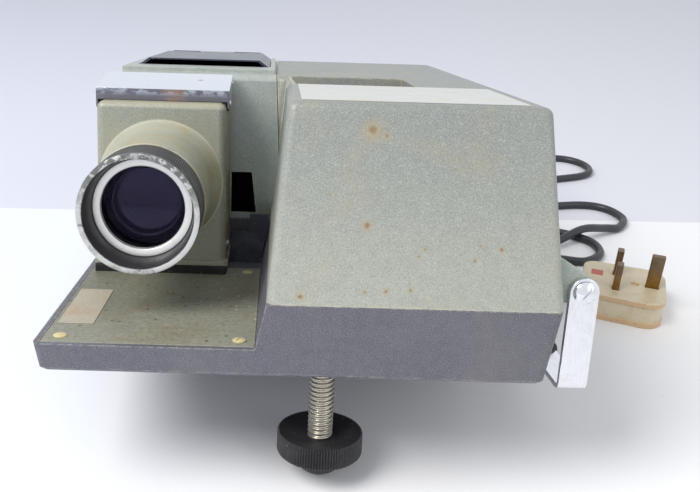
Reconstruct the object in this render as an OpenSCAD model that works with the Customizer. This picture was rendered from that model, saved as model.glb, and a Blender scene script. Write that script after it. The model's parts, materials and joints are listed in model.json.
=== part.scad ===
// Slide projector of the 1960s: a lens column and its shelf on the left, a tall
// light hood on the right, a lamp house behind, and a dark tray under it all.
// The body's own frame has x across it from its centre line, y back from the
// front of the tray and z up from the tray's underside. placed() leans that frame
// back on its front foot screw, so that it stands on z = 0 as it does on a table.

/* [Tray] */
// Width of the tray at its top edge
tray_w = 227; // [215:1:240]
// Depth of the tray from front to back
tray_d = 320; // [310:1:335]
// Height of the tray under the hood
tray_h = 33; // [30:0.5:36]
// How far the tray's right side leans in at the bottom
tray_lean_right = 5.5; // [3:0.5:8]
// How far the tray's left side leans in at the bottom
tray_lean_left = 2.5; // [1:0.5:6]
// Thickness of the tray's walls
tray_wall = 3; // [2.5:0.1:3.5]
// Thickness of the tray's floor
tray_floor = 2.5; // [2:0.1:3]

/* [Shelf] */
// Height of the low shelf in front of the lens column
shelf_h = 12.4; // [11:0.1:14]
// Width of the shelf from the tray's left edge to the hood
shelf_w = 100.3; // [98:0.1:103]
// Depth of the shelf from the tray's front
shelf_d = 152; // [149:0.5:153]
// Width of the cover plate let into the shelf
plate_w = 92.8; // [88:0.1:94]
// How far the cover plate reaches in under the lens column
plate_under = 7.5; // [4:0.5:10]
// Thickness of the cover plate
plate_t = 1.2; // [0.8:0.1:1.6]
// Distance of the plate from the tray's left and front edges
plate_margin = 3; // [2:0.1:4]
// Distance of the plate's screws from its edges
plate_screw_inset = 7; // [6:0.5:9]

/* [Hood and lamp house] */
// Height of the hood's top above the tray's underside
hood_top = 117; // [112:0.5:122]
// How far the hood's front leans back at the top
hood_lean_front = 14; // [8:0.5:18]
// How far the hood's right side leans in at the top
hood_lean_right = 9.5; // [8:0.5:15]
// How far the hood's left side leans in at the top
hood_lean_left = 6.5; // [4:0.5:8]
// How far the back leans in at the top
back_lean = 8; // [5:0.5:10]
// Radius of the hood's edges
hood_edge_r = 4; // [3:0.25:5]
// Thickness of the sheet of the hood and the lamp house
sheet_t = 2; // [1.6:0.1:2.4]
// Depth of the slide changer's bay
bay_d = 52; // [48:0.5:56]
// Right end of the bay from the centre line
bay_right = 60; // [50:1:65]
// Height of the bay's floor
bay_floor = 42; // [38:0.5:50]
// Place of the seam beside the lamp house at the top
seam_top_x = -11.5; // [-13:0.25:-10]
// Place of the seam beside the lamp house at the bottom
seam_low_x = -6.5; // [-8:0.25:-5]
// Gap of the seam
seam_gap = 0.4; // [0.3:0.1:0.8]
// How far the lamp house leans in on the left
lamp_lean_left = 7.5; // [6:0.5:11]
// Height of the raised frame on the lamp house
frame_h = 2.4; // [1.5:0.1:3]

/* [Vent lid] */
// Width of the black vent lid
lid_w = 80; // [76:0.5:82]
// Distance of the lid's back edge from the tray's back
lid_back_inset = 27; // [22:0.5:32]
// Height of the lid's raised hood
lid_h = 4.2; // [3:0.1:6]
// Width of the bevels beside the raised hood
lid_bevel = 6; // [4:0.5:8]
// Distance of the lid's front edge from the lamp house's front
lid_front_inset = 35; // [30:0.5:38]
// Radius of the lid's hinge pin
lid_pin_r = 1.2; // [1:0.1:1.5]

/* [Lens column] */
// Width of the lens column at its foot
column_w = 71; // [70:0.5:74]
// Gap between the lens column and the lamp house
column_gap = 4; // [3:0.5:6]
// Depth of the lens column
column_d = 40.5; // [39:0.5:42]
// Top of the lens column
column_top = 104.5; // [103:0.5:108]
// How far each side of the column leans in at the top
column_lean = 1.2; // [0.5:0.1:1.6]
// Wall of the lens column
column_wall = 2.5; // [2:0.1:3]
// Height of the black block under the column
plinth_h = 3.8; // [3:0.1:5]

/* [Lens] */
// Lens axis from the centre line
lens_x = -72.5; // [-74:0.25:-71]
// Height of the lens axis
lens_z = 62; // [60:0.25:64]
// Radius of the collar where it leaves the column
collar_r = 33; // [31:0.25:34]
// Radius of the collar at its front
collar_front_r = 28.6; // [28:0.1:29]
// Length of the collar in front of the column
collar_len = 49.5; // [44:0.5:51]
// Outer radius of the lens barrel
barrel_r = 26; // [25:0.25:26.5]
// Wall of the lens barrel
barrel_wall = 2.5; // [2:0.1:3]
// Radius of the knurled focusing ring
ring_r = 28.3; // [28:0.1:28.5]
// Length of the knurled focusing ring
ring_len = 26.5; // [24:0.5:28]
// How far the focusing ring reaches in front of the silver ring
ring_reach = 12; // [10:0.5:13]
// Outer radius of the silver ring
name_ring_r = 23.5; // [23.5:0.1:24]
// Inner radius of the silver ring
name_ring_bore_r = 19.8; // [19:0.1:20.5]
// How far the lens screws out
focus_travel = 20; // [10:1:24]

/* [Slide gate] */
// Side of the slide
slide_side = 50; // [49:0.5:51]
// Side of the light opening behind the slide
aperture = 38; // [36:0.5:40]
// Thickness of the gate plate
gate_t = 1.2; // [1:0.1:1.5]
// Depth of the channel that holds the slide
slide_channel = 4; // [3:0.1:4.5]

/* [Gate flap] */
// Thickness of the chromed flap over the slide gate
flap_t = 1; // [0.8:0.1:1.2]
// Depth of the flap's sides
flap_side_h = 11.5; // [10:0.5:12.5]
// Height of the flap at its front edge
flap_front_z = 110.9; // [110:0.1:113]
// Height of the flap at its back edge
flap_back_z = 117; // [115:0.1:118]
// Radius of the flap's hinge pins
flap_pin_r = 1.5; // [1.2:0.1:1.6]

/* [Handle] */
// Length of the carrying handle
handle_len = 180; // [160:1:200]
// Width of the handle's strap
strap_w = 12.7; // [11:0.1:14]
// Thickness of the handle's strap
strap_t = 2.3; // [2:0.1:2.6]
// Drop of the handle from its pivot
handle_drop = 46.4; // [42:0.2:50]
// Pivot from the centre line
pivot_x = 124.1; // [123:0.1:126]
// Height of the pivot
pivot_z = 39.1; // [38:0.1:41]
// Front face of the handle from the tray's front
handle_front = 9.9; // [9:0.1:14]
// Length of the black grip
grip_len = 90; // [80:1:100]
// Radius of the pivot screws
pivot_r = 2.5; // [2:0.1:3]

/* [Front foot] */
// How far the front foot reaches below the tray
foot_out = 61.5; // [50:0.5:66]
// Foot screw from the centre line
foot_x = 14; // [8:0.5:20]
// Foot screw from the tray's front
foot_y = 28.5; // [25:0.5:32]
// Radius of the foot screw
foot_rod_r = 6; // [5.5:0.1:6.2]
// Radius of the foot's knob
foot_knob_r = 20.4; // [18:0.2:22]
// Height of the knob's knurled rim
foot_rim_h = 11; // [9:0.5:12]
// Radius of the round tips that stand on the table
tip_r = 14; // [12:0.5:16]

/* [Rear feet] */
// Height of the rear rubber feet
rear_foot_h = 15; // [12:0.5:18]
// Radius of the rear feet
rear_foot_r = 10; // [8:0.5:11]
// Rear feet from the centre line
rear_foot_x = 92; // [80:1:95]
// Rear feet from the tray's back
rear_foot_inset = 35; // [25:1:45]

/* [Lamp and fan] */
// Radius of the lamp's glass
lamp_r = 16; // [14:0.5:18]
// Distance of the lamp behind the condenser's housing
lamp_gap = 30; // [27:0.5:34]
// Radius of the condenser lenses
condenser_r = 24; // [22:0.5:25]
// Radius of the fan's blades
fan_r = 34; // [30:0.5:36]
// Radius of the fan's shaft
shaft_r = 2; // [1.5:0.1:2.5]

/* [Mains lead] */
// Diameter of the mains lead
lead_d = 6.2; // [6:0.1:6.4]
// Thickness of the plug
plug_h = 18; // [16:0.5:20]

/* [Hidden] */

// Clearance of a shaft or pin in its bore
run_fit = 0.05;
// Gap between pieces that move past each other
air = 0.3;
far = 400;

left_x = -tray_w / 2;
right_x = tray_w / 2;
riser_x = left_x + shelf_w;
bay_back = shelf_d + column_gap / 2;
bay_front = bay_back - bay_d;
column_back = bay_back - column_gap;
column_front = column_back - column_d;
plate_d = column_front + plate_under - plate_margin;
lid_front_y = bay_back + lid_front_inset;
lid_y1 = tray_d - lid_back_inset;
rear_foot_y = tray_d - rear_foot_inset;
housing_len = 44;
housing_y0 = bay_back + sheet_t + 2;
housing_y1 = housing_y0 + housing_len;
lamp_y = housing_y1 + lamp_gap;
column_x = lens_x + 0.2;
column_half_top = column_w / 2 - column_lean;
foot_centre_z = -foot_out + tip_r;
rear_centre_z = -rear_foot_h + tip_r;
// Lean of the whole body on its three feet
lean = atan((rear_centre_z - foot_centre_z) / (rear_foot_y - foot_y));
floor_z = -foot_y * sin(lean) + foot_centre_z * cos(lean) - tip_r;
knob_top_z = foot_centre_z + 8;
knob_rim_low_z = knob_top_z - foot_rim_h;
// The resting part's lowest y is on the knob's rim, its highest on the hood's back edge
front_y = (foot_y - foot_knob_r) * cos(lean) + (knob_rim_low_z + 1.4) * sin(lean);
back_corner_y = tray_d - back_lean - hood_edge_r;
back_y = back_corner_y * cos(lean) + (hood_top - hood_edge_r) * sin(lean) + hood_edge_r;
lug_r = strap_w / 2 + 0.25;
grip_half = strap_w / 2 + 1.65;
origin_x = (left_x + pivot_x + grip_half) / 2;
origin_y = (front_y + back_y) / 2;

// Stands a piece that is drawn in the body's frame on the table
module placed() {
    translate([-origin_x, -origin_y, -floor_z]) rotate([-lean, 0, 0]) children();
}

// A body whose round-edged top [x0, x1, y0, y1] is smaller than its foot
module tapered(foot, top, z0, z1, r) {
    hull() {
        for (x = [foot[0] + r, foot[1] - r], y = [foot[2] + r, foot[3] - r])
            translate([x, y, z0]) cylinder(h = 0.1, r = r, $fn = 24);
        for (x = [top[0] + r, top[1] - r], y = [top[2] + r, top[3] - r])
            translate([x, y, z1 - r]) sphere(r = r, $fn = 24);
    }
}

module block(x0, x1, y0, y1, z0, z1) {
    translate([x0, y0, z0]) cube([x1 - x0, y1 - y0, z1 - z0]);
}

// A round bar or hole along y from y0 to y1
module along_y(x, z, y0, y1, r, fn = 48) {
    translate([x, y0, z]) rotate([-90, 0, 0]) cylinder(h = y1 - y0, r = r, $fn = fn);
}

// A round bar or hole along x from x0 to x1
module along_x(y, z, x0, x1, r, fn = 32) {
    translate([x0, y, z]) rotate([0, 90, 0]) cylinder(h = x1 - x0, r = r, $fn = fn);
}

// A flat outline in x and z, made thick along y
module upright(y0, y1) {
    translate([0, y1, 0]) rotate([90, 0, 0]) linear_extrude(y1 - y0) children();
}

// A profile of [radius, distance behind the lens front] turned about the lens axis
module turned(profile, fn = 72) {
    translate([lens_x, 0, lens_z]) rotate([-90, 0, 0])
        rotate_extrude($fn = fn) polygon(profile);
}

function plate_x0() = left_x + plate_margin;
plate_screw_x = [plate_x0() + plate_screw_inset, plate_x0() + plate_w - plate_screw_inset];
plate_screw_y = [plate_margin + plate_screw_inset, plate_margin + plate_d - plate_screw_inset];
// The plate's fourth corner lies under the lens column's plinth and has no screw
plate_screws = [
    [plate_screw_x[0], plate_screw_y[0]], [plate_screw_x[1], plate_screw_y[0]],
    [plate_screw_x[1], plate_screw_y[1]]
];
plate_screw_r = 1.5;

lens_front = column_front - collar_len - air - ring_len + ring_reach;
tray_chamfer = 1.2;
tray_corner_r = 3.5;

module tray() {
    color([0.33, 0.33, 0.38]) placed() difference() {
        hull() for (c = [[0, tray_chamfer], [tray_chamfer, 0], [shelf_h, 0], [tray_h - 0.1, 0]]) {
            rise = c[0] / tray_h;
            left_lean = tray_lean_left * max(0, 1 - c[0] / shelf_h);
            x0 = left_x + left_lean + c[1];
            x1 = right_x - tray_lean_right * (1 - rise) - c[1];
            for (x = [x0 + tray_corner_r, x1 - tray_corner_r],
                 y = [c[1] + tray_corner_r, tray_d - c[1] - tray_corner_r])
                translate([x, y, c[0]]) cylinder(h = 0.1, r = tray_corner_r, $fn = 24);
        }
        upright(-1, shelf_d) polygon([
            [left_x - 1, shelf_h], [riser_x - 4.4, shelf_h],
            [riser_x, tray_h], [riser_x, tray_h + 1], [left_x - 1, tray_h + 1]
        ]);
        inner = right_x - tray_lean_right - tray_wall;
        block(left_x + tray_lean_left + tray_wall, inner, shelf_d + tray_wall,
            tray_d - tray_wall, tray_floor, tray_h + 1);
        block(riser_x + tray_wall, inner, tray_wall, shelf_d + 4, tray_floor, tray_h + 1);
        translate([0, 0, shelf_h - plate_t])
            block(plate_x0() - 0.2, plate_x0() + plate_w + 0.2, plate_margin - 0.2,
                plate_margin + plate_d + 0.2, 0, plate_t + 1);
        difference() {
            block(plate_x0() + 4, plate_x0() + plate_w - 4, plate_margin + 4,
                plate_margin + plate_d - 4, tray_floor, shelf_h);
            for (p = plate_screws) translate([p[0], p[1], 0])
                cylinder(h = shelf_h, r = plate_screw_r + 2.5, $fn = 24);
        }
        for (p = plate_screws) translate([p[0], p[1], shelf_h - plate_t - 4])
            cylinder(h = 20, r = plate_screw_r + run_fit, $fn = 24);
        block(plate_x0() + 4, plate_x0() + plate_w - 4, plate_margin + plate_d + 4,
            shelf_d - tray_wall, -1, shelf_h - tray_wall);
        translate([foot_x, foot_y, -1]) cylinder(h = 10, r = bush_r + run_fit, $fn = 48);
        for (s = [-1, 1]) translate([s * rear_foot_x, rear_foot_y, -1])
            cylinder(h = 10, r = foot_stem_r + run_fit, $fn = 32);
        along_y(grommet_x, grommet_z, tray_d - 10, tray_d + 1, grommet_r + run_fit);
        block(switch_x - 10.2, switch_x + 10.2, tray_d - 10, tray_d + 1,
            switch_z - 7.2, switch_z + 7.2);
    }
}

bush_r = 11;
foot_stem_r = 3;
grommet_x = 85;
grommet_z = 17;
grommet_r = 6;
switch_x = 20;
switch_z = 18;

module shelf_plate() {
    color([0.47, 0.47, 0.4]) placed() difference() {
        block(plate_x0(), plate_x0() + plate_w, plate_margin, plate_margin + plate_d,
            shelf_h - plate_t, shelf_h);
        for (p = plate_screws) translate([p[0], p[1], 0])
            cylinder(h = far, r = plate_screw_r + run_fit, $fn = 24);
    }
}

module shelf_plate_screws() {
    color([0.75, 0.73, 0.6]) placed() for (p = plate_screws) translate([p[0], p[1], 0]) {
        translate([0, 0, shelf_h - plate_t - 3]) cylinder(h = 3 + plate_t, r = plate_screw_r, $fn = 24);
        translate([0, 0, shelf_h]) difference() {
            cylinder(h = 1.1, r1 = 3, r2 = 2.2, $fn = 32);
            translate([0, 0, 1.1]) cube([7, 0.7, 1], center = true);
        }
    }
}

module rating_plate() {
    color([0.8, 0.76, 0.66]) placed()
        block(plate_x0() + 2, plate_x0() + 18.5, 25, 73, shelf_h, shelf_h + 0.3);
}

// Everything to the left of the seam beside the lamp house
module left_of_seam(x_shift) {
    slope = (seam_top_x - seam_low_x) / (hood_top - tray_h);
    z0 = tray_h - 10;
    z1 = hood_top + 20;
    upright(bay_back - 1, far) polygon([
        [-far, z0], [seam_low_x + slope * (z0 - tray_h) + x_shift, z0],
        [seam_low_x + slope * (z1 - tray_h) + x_shift, z1], [-far, z1]
    ]);
}

hood_top_y0 = hood_lean_front;
hood_top_y1 = tray_d - back_lean;
hood_foot = [riser_x, right_x, 0, tray_d];
hood_crown = [riser_x + hood_lean_left, right_x - hood_lean_right, hood_top_y0, hood_top_y1];
mid_foot = [-30, bay_right, bay_back, tray_d];
mid_crown = [-30, bay_right, bay_back, hood_top_y1];

function inset(b, t) = [b[0] + t, b[1] - t, b[2] + t, b[3] - t];

module hood() {
    inner_r = hood_edge_r - sheet_t;
    color([0.6, 0.63, 0.57]) placed() difference() {
        union() {
            tapered(hood_foot, hood_crown, tray_h, hood_top, hood_edge_r);
            tapered(mid_foot, mid_crown, tray_h, hood_top, hood_edge_r);
        }
        left_of_seam(0);
        block(-far, bay_right, bay_front, bay_back, bay_floor, far);
        difference() {
            union() {
                tapered(inset(hood_foot, sheet_t), inset(hood_crown, sheet_t),
                    tray_h - 1, hood_top - sheet_t, inner_r);
                tapered([-60, bay_right, bay_back + sheet_t, tray_d - sheet_t],
                    [-60, bay_right, bay_back + sheet_t, hood_top_y1 - sheet_t],
                    tray_h - 1, hood_top - sheet_t, inner_r);
            }
            block(-far, bay_right + sheet_t, bay_front - sheet_t, bay_back + sheet_t,
                bay_floor - sheet_t, far);
        }
        for (k = [0:5]) {
            z = 60 + k * 7;
            block(30, 85, hood_top_y1 - 4, far, z, z + 3);
        }
    }
}

module hood_panel() {
    color([0.82, 0.82, 0.78]) placed()
        block(hood_crown[0] + 6, hood_crown[1] - 8.5, hood_lean_front + 7, bay_front - 5,
            hood_top, hood_top + 0.4);
}

lamp_foot = [left_x + 2.5, 40, bay_back, tray_d];
lamp_crown = [left_x + 2.5 + lamp_lean_left, 40, bay_back, hood_top_y1];
lid_x1 = seam_top_x - 4.8;
lid_x0 = lid_x1 - lid_w;
lid_gap = 0.6;
lid_base_z = hood_top + air;
lid_base_t = 1.7;
lid_sheet = 0.9;
lid_pin_y = lid_y1 + 5;
lid_pin_z = hood_top + 3.6;
knuckle_r = 2.4;
// Ends of the hinge's three knuckles: lid, lamp house, lid
knuckles = [lid_x0 + 8, lid_x0 + 28, lid_x0 + 52, lid_x0 + 72];

module lamp_house() {
    port_x = column_x + column_w / 2;
    color([0.55, 0.6, 0.54]) placed() difference() {
        union() {
            difference() {
                tapered(lamp_foot, lamp_crown, tray_h, hood_top, hood_edge_r);
                tapered([lamp_foot[0] + sheet_t, far / 4, bay_back + sheet_t, tray_d - sheet_t],
                    [lamp_crown[0] + sheet_t, far / 4, bay_back + sheet_t, hood_top_y1 - sheet_t],
                    tray_h - 1, hood_top - sheet_t, hood_edge_r - sheet_t);
            }
            difference() {
                block(lamp_crown[0] + 1.5, seam_top_x - 1.5, bay_back + 10, lid_y1 + 2,
                    hood_top - sheet_t + 0.3, hood_top + frame_h);
                block(lamp_crown[0] + 6, seam_top_x - 4, lid_y1 - 3, far, hood_top, far);
            }
            block(knuckles[1] + air, knuckles[2] - air, lid_pin_y - 1.4, lid_pin_y + 1.4,
                hood_top - 0.5, lid_pin_z);
            along_x(lid_pin_y, lid_pin_z, knuckles[1] + air, knuckles[2] - air, knuckle_r);
        }
        block(seam_low_x + 2, far, 0, far, 0, far);
        difference() {
            block(seam_top_x - 3, far, 0, far, 0, far);
            left_of_seam(-seam_gap);
        }
        block(lid_x0 - lid_gap, lid_x1 + lid_gap, lid_front_y - lid_gap, lid_y1 + lid_gap,
            hood_top, far / 2);
        block(lid_x0 + 3, lid_x1 - 3, lid_front_y + 2.5, lid_y1 - 5, hood_top - 5, far / 2);
        along_y(lens_x, lens_z, bay_back - 1, bay_back + 4, condenser_r - 3);
        upright(bay_back - 1, bay_back + 4) polygon([
            [port_x, tray_h + 3], [port_x, lens_z - 1.5], [port_x + 12, lens_z - 1.5],
            [port_x + 15, tray_h + 3]
        ]);
        along_x(lid_pin_y, lid_pin_z, knuckles[1] - 1, knuckles[2] + 1, lid_pin_r + run_fit);
    }
}

module vent_lid() {
    x0 = lid_x0;
    x1 = lid_x1;
    y1 = lid_y1 - 6;
    z0 = lid_base_z + lid_base_t;
    z1 = z0 + lid_h;
    color([0.1, 0.1, 0.13]) placed() difference() {
        union() {
            difference() {
                block(x0, x1, lid_front_y, lid_y1, lid_base_z, z0);
                block(x0 + 4, x1 - 4, lid_front_y + 3.5, lid_y1 - 8, 0, far);
            }
            difference() {
                bevelled([x0, x1, lid_front_y, y1], lid_bevel, z0 - 0.2, z1);
                bevelled([x0 + 1.5 * lid_sheet, x1 - 1.5 * lid_sheet, lid_front_y - 9, y1 - 2],
                    lid_bevel, z0 - 1, z1 - lid_sheet);
            }
            for (k = [0, 2]) {
                block(knuckles[k], knuckles[k + 1], lid_y1 - 8, lid_pin_y, lid_pin_z - knuckle_r, z0);
                along_x(lid_pin_y, lid_pin_z, knuckles[k], knuckles[k + 1], knuckle_r);
            }
        }
        for (k = [0, 2])
            along_x(lid_pin_y, lid_pin_z, knuckles[k] - 1, knuckles[k + 1] + 1, lid_pin_r + run_fit);
    }
}

// A lid with a flat top, bevelled at its two sides and its back
module bevelled(foot, bevel, z0, z1) {
    hull() {
        block(foot[0], foot[1], foot[2], foot[3], z0, z0 + 0.1);
        block(foot[0] + bevel, foot[1] - bevel, foot[2] + 1, foot[3] - 4, z1 - 0.1, z1);
    }
}

module vent_lid_pin() {
    color([0.6, 0.6, 0.6]) placed()
        along_x(lid_pin_y, lid_pin_z, knuckles[0] - 0.5, knuckles[3] + 0.5, lid_pin_r);
}

plinth_top = shelf_h + plinth_h;
band_h = 2.8;
column_foot_z = plinth_top + band_h;
flap_pin_y = column_back - 3;
flap_pin_z = flap_back_z - 4.5;
ear_x = column_half_top - 2.2;

module lens_column() {
    half = column_w / 2;
    foot = [column_x - half, column_x + half, column_front, column_back + 20];
    crown = [column_x - column_half_top, column_x + column_half_top, column_front + 0.6,
        column_back + 20];
    slot = slide_side / 2 + 2;
    color([0.56, 0.58, 0.51]) placed() difference() {
        union() {
            difference() {
                tapered(foot, crown, column_foot_z - 0.1, column_top, 4);
                tapered(inset(foot, column_wall), inset(crown, column_wall),
                    column_foot_z - 1, column_top - column_wall, 2);
            }
            difference() {
                block(foot[0] - 1, foot[1] + 1, column_front - 1.5, column_back,
                    plinth_top, column_foot_z);
                block(foot[0] + 3, foot[1] - 3, column_front + 3, far, 0, far);
            }
            turned([
                [0, column_front - collar_len], [collar_front_r - 0.6, column_front - collar_len],
                [collar_front_r, column_front - collar_len + 0.6],
                [collar_front_r, column_front - 17], [collar_front_r + 0.7, column_front - 10],
                [collar_r - 1.2, column_front - 3.2], [collar_r, column_front - 1.6],
                [collar_r, column_front + 1], [0, column_front + 1]
            ]);
            for (s = [-1, 1]) {
                x = s > 0 ? ear_x : -ear_x - 2;
                translate([column_x, 0, 0]) {
                    block(x, x + 2, flap_pin_y - 2.4, flap_pin_y + 2.4,
                        column_top - column_wall, flap_pin_z);
                    along_x(flap_pin_y, flap_pin_z, x, x + 2, 2.4);
                }
            }
        }
        block(-far, far, column_back, far, 0, far);
        block(lens_x - slot, lens_x + slot, gate_y - 1, column_back - 6, column_top - 9, far);
        turned([[0, 0], [barrel_r + run_fit, 0], [barrel_r + run_fit, column_front + 9],
            [0, column_front + 9]]);
        along_x(flap_pin_y, flap_pin_z, -far, far, flap_pin_r + run_fit);
        for (s = [-1, 1]) along_x(column_screw_y, column_screw_z, -far, far, 1.5 + run_fit);
    }
}

column_screw_y = column_front + 6;
column_screw_z = column_foot_z + 8;

module column_screws() {
    color([0.8, 0.8, 0.78]) placed() for (s = [-1, 1]) {
        x0 = column_x + s * (column_w / 2 - 3.5);
        x1 = column_x + s * (column_w / 2 + 0.1);
        along_x(column_screw_y, column_screw_z, min(x0, x1), max(x0, x1), 1.5);
        translate([x1, column_screw_y, column_screw_z]) rotate([0, s * 90, 0])
            cylinder(h = 1.2, r1 = 2.8, r2 = 1.8, $fn = 32);
    }
}

module column_plinth() {
    half = column_w / 2 + 0.4;
    color([0.08, 0.08, 0.09]) placed() difference() {
        block(column_x - half, column_x + half, column_front - 5, column_back, shelf_h, plinth_top);
        block(column_x - half + 8, column_x + half - 8, column_front + 4, gate_y - 3, 0, far);
    }
}

flap_half = column_half_top + air + flap_t + 0.1;
// The flap stands back from the column's front edge and leaves a ledge there
flap_front = column_front + 8.5;

// The flap's outline seen from its side, in y and z
function flap_line(drop) = [
    [flap_front, flap_front_z - drop], [column_back, flap_back_z - drop]
];

module gate_flap() {
    top = flap_line(0);
    under = flap_line(flap_t);
    color([0.78, 0.79, 0.82]) placed() translate([column_x, 0, 0]) difference() {
        union() {
            across(-flap_half, flap_half)
                polygon([top[0], top[1], under[1], under[0]]);
            across(-flap_half, flap_half)
                polygon([top[0], top[0] + [flap_t, 0], [flap_front + flap_t, column_top + air],
                    [flap_front, column_top + air]]);
            for (s = [-1, 1]) {
                x = s > 0 ? flap_half - flap_t : -flap_half;
                across(x, x + flap_t) polygon([
                    top[0], top[1], [column_back, flap_back_z - flap_side_h - 4],
                    [column_back - 6, flap_back_z - flap_side_h - 5],
                    [flap_front + 2, flap_front_z - flap_side_h],
                    [flap_front, flap_front_z - flap_side_h + 2]
                ]);
            }
        }
        along_x(flap_pin_y, flap_pin_z, -far, far, flap_pin_r + run_fit);
        along_x(rivet_y, rivet_z, -far, far, 1.2 + run_fit);
    }
}

rivet_y = flap_front + 5;
rivet_z = flap_front_z - 7.5;

// A flat outline in y and z, made thick along x
module across(x0, x1) {
    translate([x0, 0, 0]) rotate([90, 0, 90]) linear_extrude(x1 - x0) children();
}

module gate_flap_pins() {
    color([0.7, 0.7, 0.7]) placed() for (s = [-1, 1]) {
        x0 = column_x + s * (ear_x - 0.6);
        x1 = column_x + s * (flap_half + 0.3);
        along_x(flap_pin_y, flap_pin_z, min(x0, x1), max(x0, x1), flap_pin_r);
    }
}

module gate_flap_rivets() {
    color([0.85, 0.85, 0.85]) placed() for (s = [-1, 1]) {
        x0 = column_x + s * (flap_half - flap_t);
        x1 = column_x + s * (flap_half + 0.05);
        along_x(rivet_y, rivet_z, min(x0, x1), max(x0, x1), 1.2);
        translate([x1, rivet_y, rivet_z]) rotate([0, s * 90, 0])
            cylinder(h = 0.8, r1 = 2.2, r2 = 1.4, $fn = 24);
    }
}

bracket_y = shelf_d - 23;
module changer_bracket() {
    x0 = column_x + column_w / 2 + 1.2;
    x1 = riser_x - 0.7;
    step_x = x0 + 11;
    color([0.1, 0.12, 0.2]) placed() {
        upright(bracket_y, bracket_y + 1.4) polygon([
            [x0, shelf_h], [x0, shelf_h + 18.6], [step_x, shelf_h + 18.6],
            [step_x, shelf_h + 28.8], [x1, shelf_h + 28.8], [x1, tray_h + 2],
            [riser_x - 5, shelf_h]
        ]);
        block(x0, riser_x - 5, bracket_y + 1.4, bracket_y + 14, shelf_h, shelf_h + 1.4);
    }
}

gate_y = column_front + 26.5;
gate_back = gate_y + gate_t;
channel_back = gate_back + slide_channel;
slide_low_z = lens_z - slide_side / 2 - 0.5;

module gate_plate() {
    half = column_w / 2 - column_wall - 1.6;
    color([0.15, 0.15, 0.16]) placed() difference() {
        block(lens_x - half, lens_x + half, gate_y, gate_back, plinth_top, column_top - 9.5);
        block(lens_x - aperture / 2, lens_x + aperture / 2, 0, far,
            lens_z - aperture / 2, lens_z + aperture / 2);
    }
}

module slide_channel_frame() {
    in = slide_side / 2 + 0.4;
    out = in + 3.2;
    color([0.2, 0.2, 0.22]) placed() upright(gate_back, channel_back) polygon([
        [lens_x - out, plinth_top], [lens_x + out, plinth_top], [lens_x + out, column_top - 9.5],
        [lens_x + in, column_top - 9.5], [lens_x + in, slide_low_z],
        [lens_x - in, slide_low_z], [lens_x - in, column_top - 9.5],
        [lens_x - out, column_top - 9.5]
    ]);
}

post_r = 1.2;
post_x = slide_side / 2 + 2;
post_zs = [lens_z - 17, lens_z + 17];
plate_y = channel_back + air;
spring_y = plate_y + 1.2;

module pressure_posts() {
    color([0.7, 0.7, 0.7]) placed() for (s = [-1, 1], z = post_zs) {
        along_y(lens_x + s * post_x, z, channel_back, column_back - 1.4, post_r);
        along_y(lens_x + s * post_x, z, column_back - 2.4, column_back - 1.4, 2.6);
    }
}

module pressure_plate() {
    half = post_x + 3;
    color([0.5, 0.5, 0.52]) placed() difference() {
        block(lens_x - half, lens_x + half, plate_y, spring_y, lens_z - 23, lens_z + 23);
        block(lens_x - aperture / 2, lens_x + aperture / 2, 0, far,
            lens_z - aperture / 2, lens_z + aperture / 2);
        for (s = [-1, 1], z = post_zs)
            along_y(lens_x + s * post_x, z, 0, far, post_r + run_fit);
    }
}

module pressure_springs() {
    color([0.75, 0.75, 0.75]) placed() for (s = [-1, 1], z = post_zs) difference() {
        along_y(lens_x + s * post_x, z, spring_y, spring_y + 1.6, post_r + 1);
        along_y(lens_x + s * post_x, z, 0, far, post_r + 0.4);
    }
}

// The barrel stops on the collar's front face through the focusing ring
barrel_back = column_front + 7;
ring_back = lens_front + ring_len - ring_reach;
rim_y = lens_front - ring_reach;
bore_r = barrel_r - barrel_wall;
cell_r = bore_r - run_fit;
glass_r = cell_r - 2;

module lens_barrel() {
    color([0.16, 0.16, 0.17]) placed() turned([
        [bore_r, lens_front + 4], [barrel_r, lens_front + 4], [barrel_r, barrel_back],
        [bore_r, barrel_back]
    ]);
}

module focus_ring() {
    color([0.13, 0.13, 0.14]) placed() turned([
        [barrel_r + run_fit, lens_front + 3.6], [name_ring_r + run_fit, lens_front + 3.6],
        [name_ring_r + run_fit, lens_front + 2.2], [ring_r - 2.6, rim_y], [ring_r - 0.4, rim_y],
        [ring_r, rim_y + 0.8], [ring_r, ring_back - 0.8], [ring_r - 0.8, ring_back],
        [barrel_r + run_fit, ring_back]
    ]);
}

module silver_ring() {
    color([0.82, 0.82, 0.82]) placed() turned([
        [name_ring_bore_r, lens_front + 2.6], [name_ring_bore_r + 0.5, lens_front + 2.1],
        [name_ring_r, lens_front + 2.1], [name_ring_r, lens_front + 4],
        [name_ring_bore_r, lens_front + 5.4]
    ]);
}

// A lens of radius r with its front and back faces bulged by the two sagittas
module lens_element(y0, thick, r, front_bulge, back_bulge) {
    steps = 8;
    turned(concat(
        [[0, y0 - front_bulge]],
        [for (k = [1:steps]) [r * k / steps, y0 - front_bulge * (1 - pow(k / steps, 2))]],
        [for (k = [steps:-1:0]) [r * k / steps, y0 + thick + back_bulge * (1 - pow(k / steps, 2))]]
    ), 48);
}

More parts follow.
